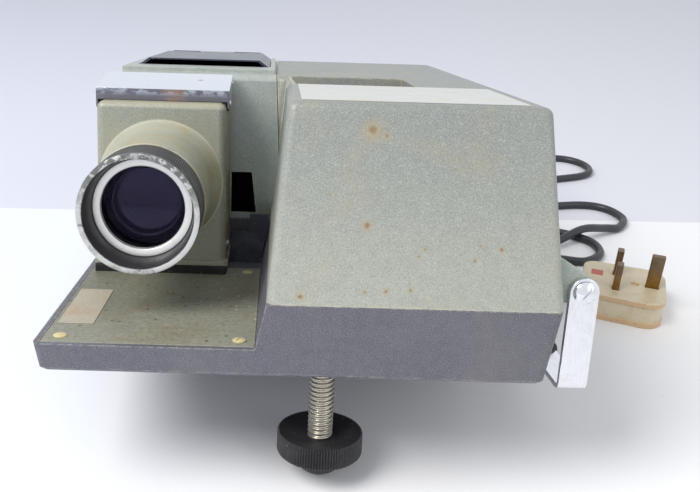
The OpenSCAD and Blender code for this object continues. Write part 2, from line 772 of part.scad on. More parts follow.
cell_front = lens_front + 7;
cell_back = barrel_back - 2;
module lens_cell_tube() {
    color([0.1, 0.1, 0.1]) placed() turned([
        [glass_r + run_fit, cell_front], [cell_r, cell_front], [cell_r, cell_back],
        [glass_r + run_fit, cell_back]
    ]);
}
module front_lens() {
    color([0.35, 0.3, 0.6, 0.5]) placed() lens_element(cell_front + 5, 5, glass_r, 3.2, 0);
}
module middle_lens() {
    color([0.35, 0.3, 0.6, 0.5]) placed() lens_element(cell_front + 26, 3, glass_r, -1.2, -1.2);
}
module rear_lens() {
    color([0.35, 0.3, 0.6, 0.5]) placed() lens_element(cell_back - 9, 5, glass_r, 0.6, 2.4);
}

arm_back = handle_front + strap_t;
handle_back = handle_front + handle_len;
strap_low_z = pivot_z - handle_drop;
lug_t = 8;
lug_fronts = [arm_back + air, handle_back - strap_t - air - lug_t];

module handle_lugs() {
    slope = hood_lean_right / (hood_top - tray_h);
    function wall_x(z) = right_x - slope * (z - tray_h) + 0.05;
    color([0.5, 0.53, 0.47]) placed() for (y = lug_fronts) difference() {
        hull() {
            upright(y, y + lug_t) polygon([[wall_x(54), 54], [wall_x(34), 34],
                [wall_x(34) + 1, 34], [wall_x(54) + 1, 54]]);
            along_y(pivot_x, pivot_z, y, y + lug_t, lug_r, 32);
        }
        along_y(pivot_x, pivot_z, 0, far, pivot_r + run_fit);
    }
}

// The strap's path seen from the side: down an arm, along and up the other arm
module handle_strap() {
    bend = 4;
    function turned_back(p) = [for (k = [len(p) - 1:-1:0]) p[k]];
    function corner(y, z, r, a0) = [for (a = [0:15:90]) [y + r * cos(a0 + a), z + r * sin(a0 + a)]];
    half = strap_w / 2;
    y0 = handle_front;
    y1 = handle_back;
    z0 = strap_low_z;
    in = bend - strap_t;
    color([0.82, 0.83, 0.86]) placed() difference() {
        union() {
            across(pivot_x - half, pivot_x + half) polygon(concat(
                [[y0, pivot_z]], corner(y0 + bend, z0 + bend, bend, 180),
                corner(y1 - bend, z0 + bend, bend, 270), [[y1, pivot_z], [y1 - strap_t, pivot_z]],
                turned_back(corner(y1 - bend, z0 + bend, in, 270)),
                turned_back(corner(y0 + bend, z0 + bend, in, 180)),
                [[y0 + strap_t, pivot_z]]
            ));
            along_y(pivot_x, pivot_z, y0, arm_back, half);
            along_y(pivot_x, pivot_z, y1 - strap_t, y1, half);
        }
        along_y(pivot_x, pivot_z, 0, far, pivot_r + run_fit);
    }
}

module handle_grip() {
    mid_y = (handle_front + handle_back) / 2;
    z = strap_low_z + strap_t / 2;
    color([0.08, 0.08, 0.08]) placed() difference() {
        translate([pivot_x, mid_y - grip_len / 2, z]) rotate([-90, 0, 0])
            hull() for (s = [-1, 1]) translate([s * (grip_half - 5.5), 0, 0])
                cylinder(h = grip_len, r = 5.5, $fn = 32);
        block(pivot_x - strap_w / 2 - run_fit, pivot_x + strap_w / 2 + run_fit, 0, far,
            strap_low_z - run_fit, strap_low_z + strap_t + run_fit);
    }
}

module handle_screws() {
    color([0.85, 0.86, 0.88]) placed() for (s = [-1, 1]) {
        face = s < 0 ? handle_front - air : handle_back + air;
        inner = face - s * 12;
        along_y(pivot_x, pivot_z, min(face, inner), max(face, inner), pivot_r);
        translate([pivot_x, face, pivot_z]) rotate([-s * 90, 0, 0]) difference() {
            rotate_extrude($fn = 40) polygon([[0, 0], [5, 0], [5, 0.6], [4.4, 1.5],
                [3, 2.3], [0, 2.7]]);
            translate([0, 0, 2.7]) cube([11, 0.9, 2], center = true);
        }
    }
}

module foot_bush() {
    color([0.6, 0.6, 0.6]) placed() translate([foot_x, foot_y, 0]) difference() {
        union() {
            cylinder(h = tray_floor, r = bush_r, $fn = 48);
            translate([0, 0, tray_floor]) cylinder(h = 12, r = bush_r + 3, $fn = 48);
        }
        translate([0, 0, -1]) cylinder(h = 30, r = foot_rod_r + run_fit, $fn = 48);
    }
}

module foot_rod() {
    color([0.75, 0.74, 0.7]) placed() translate([foot_x, foot_y, 0])
        translate([0, 0, knob_low_z + 6]) cylinder(h = 22 - knob_low_z - 6, r = foot_rod_r, $fn = 48);
}

knob_low_z = knob_rim_low_z - 2;
tip_stem_r = 3;
module foot_knob() {
    top = knob_top_z;
    low = knob_low_z;
    color([0.1, 0.1, 0.11]) placed() translate([foot_x, foot_y, 0]) difference() {
        rotate_extrude($fn = 72) polygon([
            [0, low], [tip_r, low], [foot_knob_r - 2.4, knob_rim_low_z],
            [foot_knob_r, knob_rim_low_z + 1.4], [foot_knob_r, top - 0.6],
            [foot_knob_r - 0.6, top], [foot_knob_r - 1.6, top],
            [foot_rod_r + 2.4, top - 2.6], [0, top - 2.6]
        ]);
        translate([0, 0, low + 6]) cylinder(h = 40, r = foot_rod_r + run_fit, $fn = 48);
        translate([0, 0, low - 1]) cylinder(h = 6, r = tip_stem_r + run_fit, $fn = 32);
    }
}

module foot_tip() {
    color([0.12, 0.12, 0.13]) placed() translate([foot_x, foot_y, 0]) {
        intersection() {
            translate([0, 0, foot_centre_z]) sphere(r = tip_r, $fn = 64);
            translate([0, 0, -100]) cylinder(h = 100 + knob_low_z - air, r = 40, $fn = 64);
        }
        translate([0, 0, knob_low_z - 2]) cylinder(h = 6, r = tip_stem_r, $fn = 32);
    }
}

module rear_feet() {
    color([0.12, 0.12, 0.12]) placed() for (s = [-1, 1])
        translate([s * rear_foot_x, rear_foot_y, 0]) {
            intersection() {
                translate([0, 0, rear_centre_z]) sphere(r = tip_r, $fn = 64);
                translate([0, 0, -rear_foot_h - 5])
                    cylinder(h = rear_foot_h + 5, r = rear_foot_r, $fn = 48);
            }
            translate([0, 0, -2]) cylinder(h = 2 + tray_floor + 2, r = foot_stem_r, $fn = 32);
        }
}

holder_top = lens_z - 26;
cap_r = 13;
holder_half = cap_r + 7;
module lamp_holder() {
    color([0.8, 0.78, 0.72]) placed() difference() {
        block(lens_x - holder_half, lens_x + holder_half, lamp_y - holder_half,
            lamp_y + holder_half, tray_floor, holder_top);
        translate([lens_x, lamp_y, holder_top - 14])
            cylinder(h = 30, r = cap_r + run_fit, $fn = 48);
    }
}
module lamp_cap() {
    color([0.75, 0.7, 0.5]) placed() translate([lens_x, lamp_y, holder_top - 14])
        cylinder(h = 20, r = cap_r, $fn = 48);
}
module lamp_glass() {
    low = holder_top + 6;
    color([0.9, 0.92, 0.95, 0.35]) placed() translate([lens_x, lamp_y, 0])
        rotate_extrude($fn = 48) polygon(concat(
            [[0, low], [lamp_r - 5, low], [lamp_r, low + 8]],
            [for (a = [0:15:90]) [lamp_r * cos(a), lens_z + 26 + lamp_r * sin(a)]]
        ));
}

module lamp_mirror() {
    r = 30;
    y = lamp_y + 19;
    color([0.85, 0.86, 0.88]) placed() {
        difference() {
            intersection() {
                translate([lens_x, y - r + 9, lens_z]) sphere(r = r, $fn = 72);
                along_y(lens_x, lens_z, y, y + 20, 23);
            }
            translate([lens_x, y - r + 9, lens_z]) sphere(r = r - 1.5, $fn = 72);
        }
        block(lens_x - 5, lens_x + 5, y + 9, y + 11, tray_floor, lens_z + 4);
        block(lens_x - 12, lens_x + 12, y + 9, y + 22, tray_floor, tray_floor + 1.5);
    }
}

module condenser_housing() {
    half = condenser_r + 5;
    color([0.35, 0.35, 0.37]) placed() difference() {
        union() {
            block(lens_x - half, lens_x + half, housing_y0, housing_y1, lens_z - half, lens_z + half);
            for (s = [-1, 1]) translate([lens_x + s * (half - 3), 0, 0])
                block(-3, 3, housing_y0, housing_y1, tray_floor, lens_z);
        }
        along_y(lens_x, lens_z, 0, far, condenser_r + 0.1);
    }
}
module front_condenser() {
    color([0.8, 0.88, 0.88, 0.4]) placed() lens_element(housing_y0 + 9, 2, condenser_r, 8, 0);
}
module rear_condenser() {
    color([0.8, 0.88, 0.88, 0.4]) placed() lens_element(housing_y0 + 22, 2, condenser_r, 0, 8);
}
module heat_glass() {
    color([0.6, 0.85, 0.8, 0.4]) placed()
        along_y(lens_x, lens_z, housing_y1 - 7, housing_y1 - 4, condenser_r);
}

fan_y = lamp_y + 2;
fan_z = fan_r + 40;
shroud_x = 4;
shroud_half = fan_r + 16;
module fan_shroud() {
    color([0.5, 0.5, 0.52]) placed() difference() {
        union() {
            block(shroud_x, shroud_x + 1.5, fan_y - shroud_half, fan_y + shroud_half,
                tray_floor, fan_z + fan_r + 4);
            block(shroud_x + 1.5, shroud_x + 12, fan_y - shroud_half, fan_y + shroud_half,
                tray_floor, tray_floor + 1.5);
        }
        along_x(fan_y, fan_z, 0, far, fan_r + 2, 72);
    }
}
motor_r = 24;
motor_len = 30;
motor_x = shroud_x + 26;
module fan_shaft() {
    color([0.8, 0.8, 0.8]) placed()
        along_x(fan_y, fan_z, shroud_x + 2, motor_x + motor_len + 4, shaft_r);
}
hub_r = 9;
blade_len = 13;
module fan_blades() {
    color([0.7, 0.7, 0.72]) placed() translate([shroud_x + 5, fan_y, fan_z])
        rotate([0, 90, 0]) difference() {
            union() {
                cylinder(h = blade_len, r = hub_r, $fn = 48);
                for (k = [0:4]) rotate([0, 0, k * 72])
                    translate([hub_r - 2, 0, blade_len / 2]) rotate([32, 0, 0])
                        translate([0, -hub_r, -0.6]) cube([fan_r - hub_r + 1, 2 * hub_r, 1.2]);
            }
            translate([0, 0, -10]) cylinder(h = 40, r = shaft_r + run_fit, $fn = 32);
        }
}
module fan_motor() {
    color([0.4, 0.4, 0.42]) placed() difference() {
        union() {
            along_x(fan_y, fan_z, motor_x, motor_x + motor_len, motor_r, 64);
            block(motor_x + 4, motor_x + motor_len - 4, fan_y - motor_r * 0.75,
                fan_y + motor_r * 0.75, tray_floor, fan_z - motor_r / 2);
        }
        along_x(fan_y, fan_z, motor_x - 1, motor_x + motor_len + 1, shaft_r + run_fit);
    }
}

core_w = 60;
core_d = 32;
core_h = 52;
core_leg = 14;
coil_out = 11;
core_gap = 0.3;
core_x = right_x - 41.5;
core_y = foot_y + 27.5;
core_window = core_h - 2 * core_leg + 6;
module transformer_core() {
    window_x = core_w / 4 - 1;
    color([0.35, 0.33, 0.32]) placed() difference() {
        block(core_x - core_w / 2, core_x + core_w / 2, core_y - core_d / 2,
            core_y + core_d / 2, tray_floor, tray_floor + core_h);
        for (s = [-1, 1])
            block(core_x + s * window_x - core_leg / 2, core_x + s * window_x + core_leg / 2,
                0, far, tray_floor + core_leg - 3, tray_floor + core_leg - 3 + core_window);
    }
}
module transformer_coil() {
    low = tray_floor + core_leg - 3 + core_gap;
    window_x = core_w / 4 - 1;
    inner = window_x - core_leg / 2 + core_gap;
    outer = window_x + core_leg / 2 - core_gap;
    color([0.7, 0.45, 0.25]) placed() difference() {
        block(core_x - outer, core_x + outer, core_y - core_d / 2 - coil_out,
            core_y + core_d / 2 + coil_out, low, low + core_window - 2 * core_gap);
        block(core_x - inner, core_x + inner, core_y - core_d / 2 - core_gap,
            core_y + core_d / 2 + core_gap, 0, far);
    }
}

module switch_housing() {
    color([0.1, 0.1, 0.1]) placed() difference() {
        union() {
            block(switch_x - 10, switch_x + 10, tray_d - 17, tray_d, switch_z - 7, switch_z + 7);
            block(switch_x - 12, switch_x + 12, tray_d, tray_d + 1.5, switch_z - 9, switch_z + 9);
        }
        block(switch_x - 7.5, switch_x + 7.5, tray_d - 7, far, switch_z - 6, switch_z + 6);
        along_x(tray_d - 3.4, switch_z, switch_x - 9, switch_x + 9, 1 + run_fit, 24);
    }
}
module switch_rocker() {
    color([0.7, 0.1, 0.08]) placed() {
        across(switch_x - 7.1, switch_x + 7.1) polygon([
            [tray_d - 5, switch_z - 3.6], [tray_d + 1.4, switch_z - 4.2],
            [tray_d + 1, switch_z], [tray_d + 3, switch_z + 4.2], [tray_d - 5, switch_z + 3.6]
        ]);
        along_x(tray_d - 3.4, switch_z, switch_x - 8.8, switch_x + 8.8, 1, 24);
    }
}

block_x = rear_foot_x - 32;
module terminal_block() {
    color([0.85, 0.83, 0.75]) placed() difference() {
        block(block_x - 20, block_x + 20, rear_foot_y + 1, rear_foot_y + 17, tray_floor,
            tray_floor + 12);
        for (k = [-1.5:1.5]) translate([block_x + k * 10, rear_foot_y + 9, tray_floor + 6])
            cylinder(h = 10, r = 2.5, $fn = 24);
    }
}

grommet_len = 32;
module lead_grommet() {
    color([0.07, 0.07, 0.07]) placed() translate([grommet_x, 0, grommet_z]) rotate([-90, 0, 0])
        difference() {
            union() {
                translate([0, 0, tray_d - 6]) cylinder(h = 6, r = grommet_r, $fn = 32);
                translate([0, 0, tray_d]) cylinder(h = 3, r = grommet_r + 2.5, $fn = 32);
                translate([0, 0, tray_d + 3])
                    cylinder(h = grommet_len - 3, r1 = grommet_r, r2 = lead_d / 2 + 1, $fn = 32);
            }
            translate([0, 0, tray_d - 8]) cylinder(h = 8 + grommet_len - 6, r = 2, $fn = 32);
        }
}

plug_turn = -21;
plug_at = [208, 27.5, 0];
// Direction in which the lead leaves the plug
plug_way = [-cos(plug_turn), -sin(plug_turn), 0];
lead_r = lead_d / 2;
coil_x = 112;
coil_y = 246.5;
coil_start_r = 43.5;
// The coil winds in for two turns, climbs half a turn and winds out again
coil_in_turns = 2;
coil_out_turns = 1.75;
coil_pitch = 7.4;
coil_step = 6.8;
coil_inner_r = coil_start_r - coil_pitch * (coil_in_turns + 0.5);
coil_end_r = coil_inner_r + coil_pitch * coil_out_turns;
coil_high_z = lead_r + coil_step;
coil_turns = coil_in_turns + 0.5 + coil_out_turns;

// The lead's route on the table, in the part's own frame: from the grommet to the
// coil, then from the coil's other end to the plug
lead_exit = [grommet_x - origin_x,
    (tray_d + grommet_len) * cos(lean) + grommet_z * sin(lean) - origin_y,
    -(tray_d + grommet_len) * sin(lean) + grommet_z * cos(lean) - floor_z];
lead_exit_way = [0, cos(lean), -sin(lean)];
start_points = [
    lead_exit, lead_exit + 10 * lead_exit_way, [76, 208, 15], [75, 221, 11.4],
    [74, 231, 10], [coil_x - coil_end_r, coil_y - lead_d, coil_high_z]
];
run_points = [
    [coil_x + lead_d, coil_y + coil_start_r, lead_r], [148, 292, 3.1], [184, 297, 3.1],
    [220, 303, 3.1], [250, 309, 3.1], [267, 304, 3.1], [276, 290, 3.1], [274, 273, 3.1],
    [261, 261, 3.1], [237, 252, 3.1], [212, 242, 3.1], [187, 233, 3.1], [174, 221, 3.1],
    [172, 203, 3.1], [182, 189, 3.1], [200, 185, 3.1], [239, 192, 3.1], [259, 185, 3.1],
    [266, 165, 3.1], [256, 147, 3.1], [240, 138, 6.2], [219, 126, 10.2], [198, 113, 6.2],
    [176, 101, 3.1], [157, 98, 3.1], [142, 109, 3.1], [139, 127, 3.1], [150, 143, 3.1],
    [168, 147, 3.1], [191, 139, 3.1], [211, 131, 3.1], [225, 117, 3.1], [224, 97, 3.1],
    [208, 84, 3.1], [188, 87, 3.1], [172, 81, 3.1], [164, 67, 3.9], [168, 50, 6.2],
    [179, 39, 8.7], plug_at + 20.05 * plug_way + [0, 0, plug_h / 2]
];

function coil_radius(t) = t < coil_in_turns + 0.5 ? coil_start_r - coil_pitch * t
    : coil_inner_r + coil_pitch * (t - coil_in_turns - 0.5);
function coil_height(t) = lead_r + coil_step * pow(min(1, max(0, (t - coil_in_turns) * 2)), 3);
function coil_point(t) = [
    coil_x + coil_radius(t) * cos(90 + 360 * t),
    coil_y + coil_radius(t) * sin(90 + 360 * t), coil_height(t)
];
coil_points = concat(
    [[coil_x + lead_d, coil_y + coil_start_r, lead_r]],
    [for (k = [0:24 * coil_turns]) coil_point(k / 24)],
    [[coil_x - coil_end_r, coil_y - lead_d, coil_high_z]]
);

// Least gap of the coil to itself, over points at least a third of a turn apart
coil_gap = min([for (i = [0:2:96 * coil_turns], j = [i + 32:2:96 * coil_turns])
    norm(coil_point(i / 96) - coil_point(j / 96))]) - lead_d;
echo("least gap of the coil to itself", coil_gap);

function unit(v) = v / norm(v);
function way(p, i) = unit(p[min(i + 1, len(p) - 1)] - p[max(i - 1, 0)]);
// Points of one curve through the route, each stretch cut in two
function eased(p) = concat([for (i = [0:len(p) - 2]) each [p[i], (9 * (p[i] + p[i + 1])
    - p[max(i - 1, 0)] - p[min(i + 2, len(p) - 1)]) / 16]], [p[len(p) - 1]]);
function ring_of(p, i, first, last, r, sides) =
    let (t = i == 0 ? first : i == len(p) - 1 ? last : way(p, i),
        side = unit(cross(t, [0, 0, 1])), up = cross(side, t))
    [for (k = [0:sides - 1]) p[i] + r * (cos(360 * k / sides) * side + sin(360 * k / sides) * up)];

// A round tube through the points p that starts and ends square to first and last
module tube(p, first, last, r, sides) {
    n = len(p);
    points = [for (i = [0:n - 1]) each ring_of(p, i, unit(first), unit(last), r, sides)];
    walls = [for (i = [0:n - 2], k = [0:sides - 1])
        let (a = i * sides + k, b = i * sides + (k + 1) % sides)
        each [[a, b, b + sides], [a, b + sides, a + sides]]];
    caps = [for (k = [1:sides - 2]) each
        [[0, k + 1, k], [(n - 1) * sides, (n - 1) * sides + k, (n - 1) * sides + k + 1]]];
    polyhedron(points = points, faces = concat(walls, caps));
}

module lead_start() {
    color([0.1, 0.1, 0.11])
        tube(eased(start_points), lead_exit_way, [0, 1, 0], lead_r, 10);
}
module lead_coil() {
    color([0.1, 0.1, 0.11]) tube(coil_points, [-1, 0, 0], [0, -1, 0], lead_r, 6);
}
module lead_run() {
    color([0.1, 0.1, 0.11])
        tube(eased(run_points), [1, 0, 0], -plug_way, lead_r, 10);
}

pin_spacing = 22.2;

module plug_layer(shrink, z0, z1) {
    hull() for (q = [[-12, 16, 9], [-12, -16, 9], [19, 14, 12], [19, -14, 12]])
        translate([q[0], q[1], z0]) cylinder(h = z1 - z0, r = q[2] - shrink, $fn = 40);
}
module plug_body() {
    rim = 3.6;
    color([0.86, 0.76, 0.6]) translate(plug_at) rotate([0, 0, plug_turn]) difference() {
        union() {
            plug_layer(0, 0, rim);
            plug_layer(1, rim, plug_h - rim);
            plug_layer(0, plug_h - rim, plug_h);
        }
        for (s = [-1, 1]) translate([0, s * 11.1, plug_h - 6])
            cube([4.2, 6.55, 20], center = true);
        translate([pin_spacing, 0, plug_h - 6]) cube([8.2, 4.2, 20], center = true);
        translate([12, 0, plug_h - 1.2]) cylinder(h = 10, r = 2.6, $fn = 32);
    }
}
module plug_pins() {
    color([0.6, 0.5, 0.3]) translate(plug_at) rotate([0, 0, plug_turn]) {
        for (s = [-1, 1]) translate([-2, s * 11.1 - 3.175, plug_h - 5]) cube([4, 6.35, 5 + 17.7]);
        translate([pin_spacing - 4, -2, plug_h - 5]) cube([8, 4, 5 + 22.7]);
    }
}

tray();
shelf_plate();
shelf_plate_screws();
rating_plate();
hood();
hood_panel();
lamp_house();
vent_lid();
vent_lid_pin();
lens_column();
column_plinth();
column_screws();
gate_flap();
gate_flap_pins();
gate_flap_rivets();
changer_bracket();
gate_plate();
slide_channel_frame();
pressure_posts();
pressure_plate();
pressure_springs();
lens_barrel();
focus_ring();
silver_ring();
front_lens();
middle_lens();
rear_lens();
lens_cell_tube();
handle_lugs();
handle_strap();
handle_grip();
handle_screws();
foot_bush();
foot_rod();
foot_knob();
foot_tip();
rear_feet();
lamp_holder();
lamp_cap();
lamp_glass();
lamp_mirror();
condenser_housing();
front_condenser();
rear_condenser();
heat_glass();
fan_shroud();
fan_shaft();
fan_blades();
fan_motor();
transformer_core();
transformer_coil();
switch_housing();
switch_rocker();
terminal_block();
lead_grommet();
lead_start();
lead_coil();
lead_run();
plug_body();
plug_pins();
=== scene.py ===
"""A slide projector with a knurled lens at its left, a tall hammer-painted light hood, a chromed
gate flap, a carrying handle and a front foot screw, standing on a white table.

Sizes are in millimetres in the body's own directions unless a name says otherwise: x across to
the handle's side, y back from the tray's front, z up from the tray's underside. at() turns them
into metres of the shared frame, in which the body leans back on its foot screw.
"""
import json

import bmesh
import bpy
import numpy as np
from math import pi, radians
from mathutils import Matrix

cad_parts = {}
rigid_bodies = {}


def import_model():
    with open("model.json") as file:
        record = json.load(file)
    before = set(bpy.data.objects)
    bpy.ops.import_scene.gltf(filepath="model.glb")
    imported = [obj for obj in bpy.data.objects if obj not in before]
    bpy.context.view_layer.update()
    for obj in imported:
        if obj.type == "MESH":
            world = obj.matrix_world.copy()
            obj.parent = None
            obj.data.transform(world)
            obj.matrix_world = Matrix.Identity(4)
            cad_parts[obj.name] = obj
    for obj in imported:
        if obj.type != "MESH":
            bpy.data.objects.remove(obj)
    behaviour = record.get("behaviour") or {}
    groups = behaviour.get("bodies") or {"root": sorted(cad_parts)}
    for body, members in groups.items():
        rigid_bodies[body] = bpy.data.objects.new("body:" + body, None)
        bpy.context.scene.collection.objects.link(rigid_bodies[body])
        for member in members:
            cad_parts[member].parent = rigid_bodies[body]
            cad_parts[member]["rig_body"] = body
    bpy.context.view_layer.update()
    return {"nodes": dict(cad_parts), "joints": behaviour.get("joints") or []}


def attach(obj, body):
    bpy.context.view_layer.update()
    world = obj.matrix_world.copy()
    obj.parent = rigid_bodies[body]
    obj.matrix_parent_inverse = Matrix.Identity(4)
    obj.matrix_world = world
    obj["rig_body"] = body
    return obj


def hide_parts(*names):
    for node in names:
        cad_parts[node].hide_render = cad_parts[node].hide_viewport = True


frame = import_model()
cad_nodes = frame["nodes"]
joints = {joint["name"]: joint for joint in frame["joints"]}

# ---------------------------------------------------------------- the body's own directions
ACROSS = np.array([1.0, 0.0, 0.0])
UP = np.array(joints["foot_turn"]["axis"], float)
BACK = -np.array(joints["focus_travel"]["axis"], float)
FOOT_X, FOOT_Y, FOOT_CENTRE_Z = 14.0, 28.5, -47.5
ORIGIN = (np.array(joints["foot_turn"]["pos_m"], float)
          - (FOOT_X * ACROSS + FOOT_Y * BACK + FOOT_CENTRE_Z * UP) / 1000)
LENS_X, LENS_Z = -72.5, 62.0
LENS_AXIS = (LENS_X, 0, LENS_Z)
CORD_R = 0.0031
# Blender's box round a curve grows by this radius of its points, which scales the bevel
POINT_RADIUS = 0.001


def at(points):
    """Body millimetres, as the last axis of an array, turned into metres of the shared frame."""
    points = np.asarray(points, float) / 1000
    return (ORIGIN + points[..., :1] * ACROSS + points[..., 1:2] * BACK + points[..., 2:3] * UP)


# ---------------------------------------------------------------- camera
camera = bpy.data.objects.new("camera", bpy.data.cameras.new("camera"))
bpy.context.scene.collection.objects.link(camera)
camera.data.sensor_width = 36
camera.data.lens = 42.69
camera.data.shift_x = 0.11
camera.matrix_world = (Matrix.Translation((-0.0203, -0.46111, 0.27405))
                       @ Matrix.Rotation(radians(64.02), 4, "X") @ Matrix.Rotation(0.029, 4, "Z"))
bpy.context.scene.camera = camera


# ---------------------------------------------------------------- meshes from arrays
def add_piece(name, mesh, body):
    """Puts a mesh in the scene as a piece that rides on a body."""
    piece = bpy.data.objects.new(name, mesh)
    bpy.context.scene.collection.objects.link(piece)
    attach(piece, body)
    return piece


def make_mesh(name, points, faces, sharp=35.0, outward=True, uv=None):
    """A mesh in metres from arrays of corners and quads. Doubles are merged, so that poles and
    seams close, and edges turn sharp where the faces turn by more than sharp degrees. uv gives
    one pair for each corner of each face."""
    mesh = bpy.data.meshes.new(name)
    mesh.from_pydata(np.asarray(points, float).reshape(-1, 3).tolist(), [], faces.tolist())
    if uv is not None:
        mesh.uv_layers.new(name="around").data.foreach_set("uv", np.asarray(uv, float).ravel())
    tidy = bmesh.new()
    tidy.from_mesh(mesh)
    bmesh.ops.remove_doubles(tidy, verts=tidy.verts, dist=2e-6)
    bmesh.ops.dissolve_degenerate(tidy, edges=tidy.edges, dist=1e-7)
    if outward:
        bmesh.ops.recalc_face_normals(tidy, faces=tidy.faces)
    tidy.to_mesh(mesh)
    tidy.free()
    mesh.shade_smooth()
    mesh.set_sharp_from_angle(angle=radians(sharp))
    return mesh


def grid_faces(rows, columns, wrap_rows=False, wrap_columns=True):
    """Corner numbers of the quads between neighbouring rows and columns of a grid of points."""
    r, c = np.meshgrid(np.arange(rows - (not wrap_rows)),
                       np.arange(columns - (not wrap_columns)), indexing="ij")
    r_next, c_next = (r + 1) % rows, (c + 1) % columns
    quads = np.stack([r * columns + c, r * columns + c_next,
                      r_next * columns + c_next, r_next * columns + c], -1)
    return quads.reshape(-1, 4)


AXES = {"x": np.eye(3)[[1, 2, 0]], "y": np.eye(3)[[0, 2, 1]], "z": np.eye(3)}


def turned(name, profile, centre, axis, body, columns=96, teeth=0, tooth_depth=None,
           closed=False, sharp=35.0):
    """A lathe shape about an axis of the body. With the profile's pairs (r, h), a point is
    centre + r(a) * (cos a, sin a) across the axis + h along it, where
    r(a) = r + depth * (cos(teeth * a) - 1) / 2, so that teeth cut tooth_depth into the profile."""
    profile = np.asarray(profile, float)
    if closed:
        profile = np.vstack([profile, profile[:1]])
    angle = np.arange(columns) * 2 * pi / columns
    depth = np.zeros(len(profile)) if tooth_depth is None else np.asarray(tooth_depth, float)
    if closed and tooth_depth is not None:
        depth = np.append(depth, depth[0])
    radius = profile[:, :1] + depth[:, None] * (np.cos(teeth * angle) - 1)[None] / 2
    local = np.stack([radius * np.cos(angle), radius * np.sin(angle),
                      np.broadcast_to(profile[:, 1:], radius.shape)], -1)
    points = at(np.asarray(centre, float) + local @ AXES[axis])
    faces = grid_faces(len(profile), columns)
    along = np.append(0, np.cumsum(np.linalg.norm(np.diff(profile, axis=0), axis=1)))
    row, column = faces // columns, faces % columns
    column = np.where((column == 0) & (column.max(1, keepdims=True) > 1), columns, column)
    uv = np.stack([column / columns, along[row] / 10], -1)
    return add_piece(name, make_mesh(name, points, faces, sharp, uv=uv), body)


def slotted_heads(name, centres, ways, turns, radius, rise, wall, slot, slot_floor, body):
    """Domed screw heads in one piece. On a head, x crosses the slot and y = v * (radius^2 -
    x^2)^0.5 runs along it; the height is wall + rise * (1 - (d / radius)^2), with d from the
    centre, and no more than slot_floor where |x| < slot / 2. The outline drops to the seat."""
    across = np.concatenate([np.linspace(-1, -slot / 2 / radius, 9),
                             np.linspace(-slot / 2 / radius + 1e-4, slot / 2 / radius - 1e-4, 3),
                             np.linspace(slot / 2 / radius, 1, 9)])
    v = np.concatenate([[-1], np.linspace(-1, 1, 17), [1]])
    x, v_grid = np.meshgrid(across * radius, v)
    y = v_grid * np.sqrt(np.maximum(radius ** 2 - x ** 2, 0))
    height = wall + rise * (1 - (x ** 2 + y ** 2) / radius ** 2)
    height = np.where(np.abs(x) < slot / 2 - 1e-5, np.minimum(height, slot_floor), height)
    height[0] = height[-1] = 0
    height[:, 0] = np.minimum(height[:, 0], wall)
    points, faces = [], []
    for centre, way, turn in zip(centres, ways, turns):
        basis = AXES[way[-1]] * np.array([[1], [1], [-1 if way[0] == "-" else 1]])
        c, s = np.cos(radians(turn)), np.sin(radians(turn))
        local = np.stack([x * c - y * s, x * s + y * c, height], -1)
        faces.append(grid_faces(len(v), len(across), True, False) + len(faces) * x.size)
        points.append(at(np.asarray(centre, float) + local @ basis).reshape(-1, 3))
    mesh = make_mesh(name, np.concatenate(points), np.concatenate(faces), 40)
    return add_piece(name, mesh, body)


def soft_copy(node, bevel_mm=0.0, sharp=32.0):
    """A merged copy of a CAD solid, smooth where it curves and with its edges broken by a small
    bevel, which stands for the solid."""
    source = cad_nodes[node]
    mesh = source.data.copy()
    mesh.materials.clear()
    tidy = bmesh.new()
    tidy.from_mesh(mesh)
    bmesh.ops.remove_doubles(tidy, verts=tidy.verts, dist=1e-6)
    bmesh.ops.dissolve_limit(tidy, angle_limit=radians(0.2), verts=tidy.verts,
                             edges=tidy.edges, delimit=set())
    tidy.to_mesh(mesh)
    tidy.free()
    mesh.shade_smooth()
    mesh.set_sharp_from_angle(angle=radians(sharp))
    piece = add_piece(node + "_finished", mesh, source["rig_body"])
    if bevel_mm:
        bevel = piece.modifiers.new("broken_edges", "BEVEL")
        bevel.width = bevel_mm / 1000
        bevel.segments = 2
        bevel.limit_method = "ANGLE"
        bevel.angle_limit = radians(sharp)
        weighted = piece.modifiers.new("flat_faces_stay_flat", "WEIGHTED_NORMAL")
        weighted.keep_sharp = True
    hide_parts(node)
    return piece


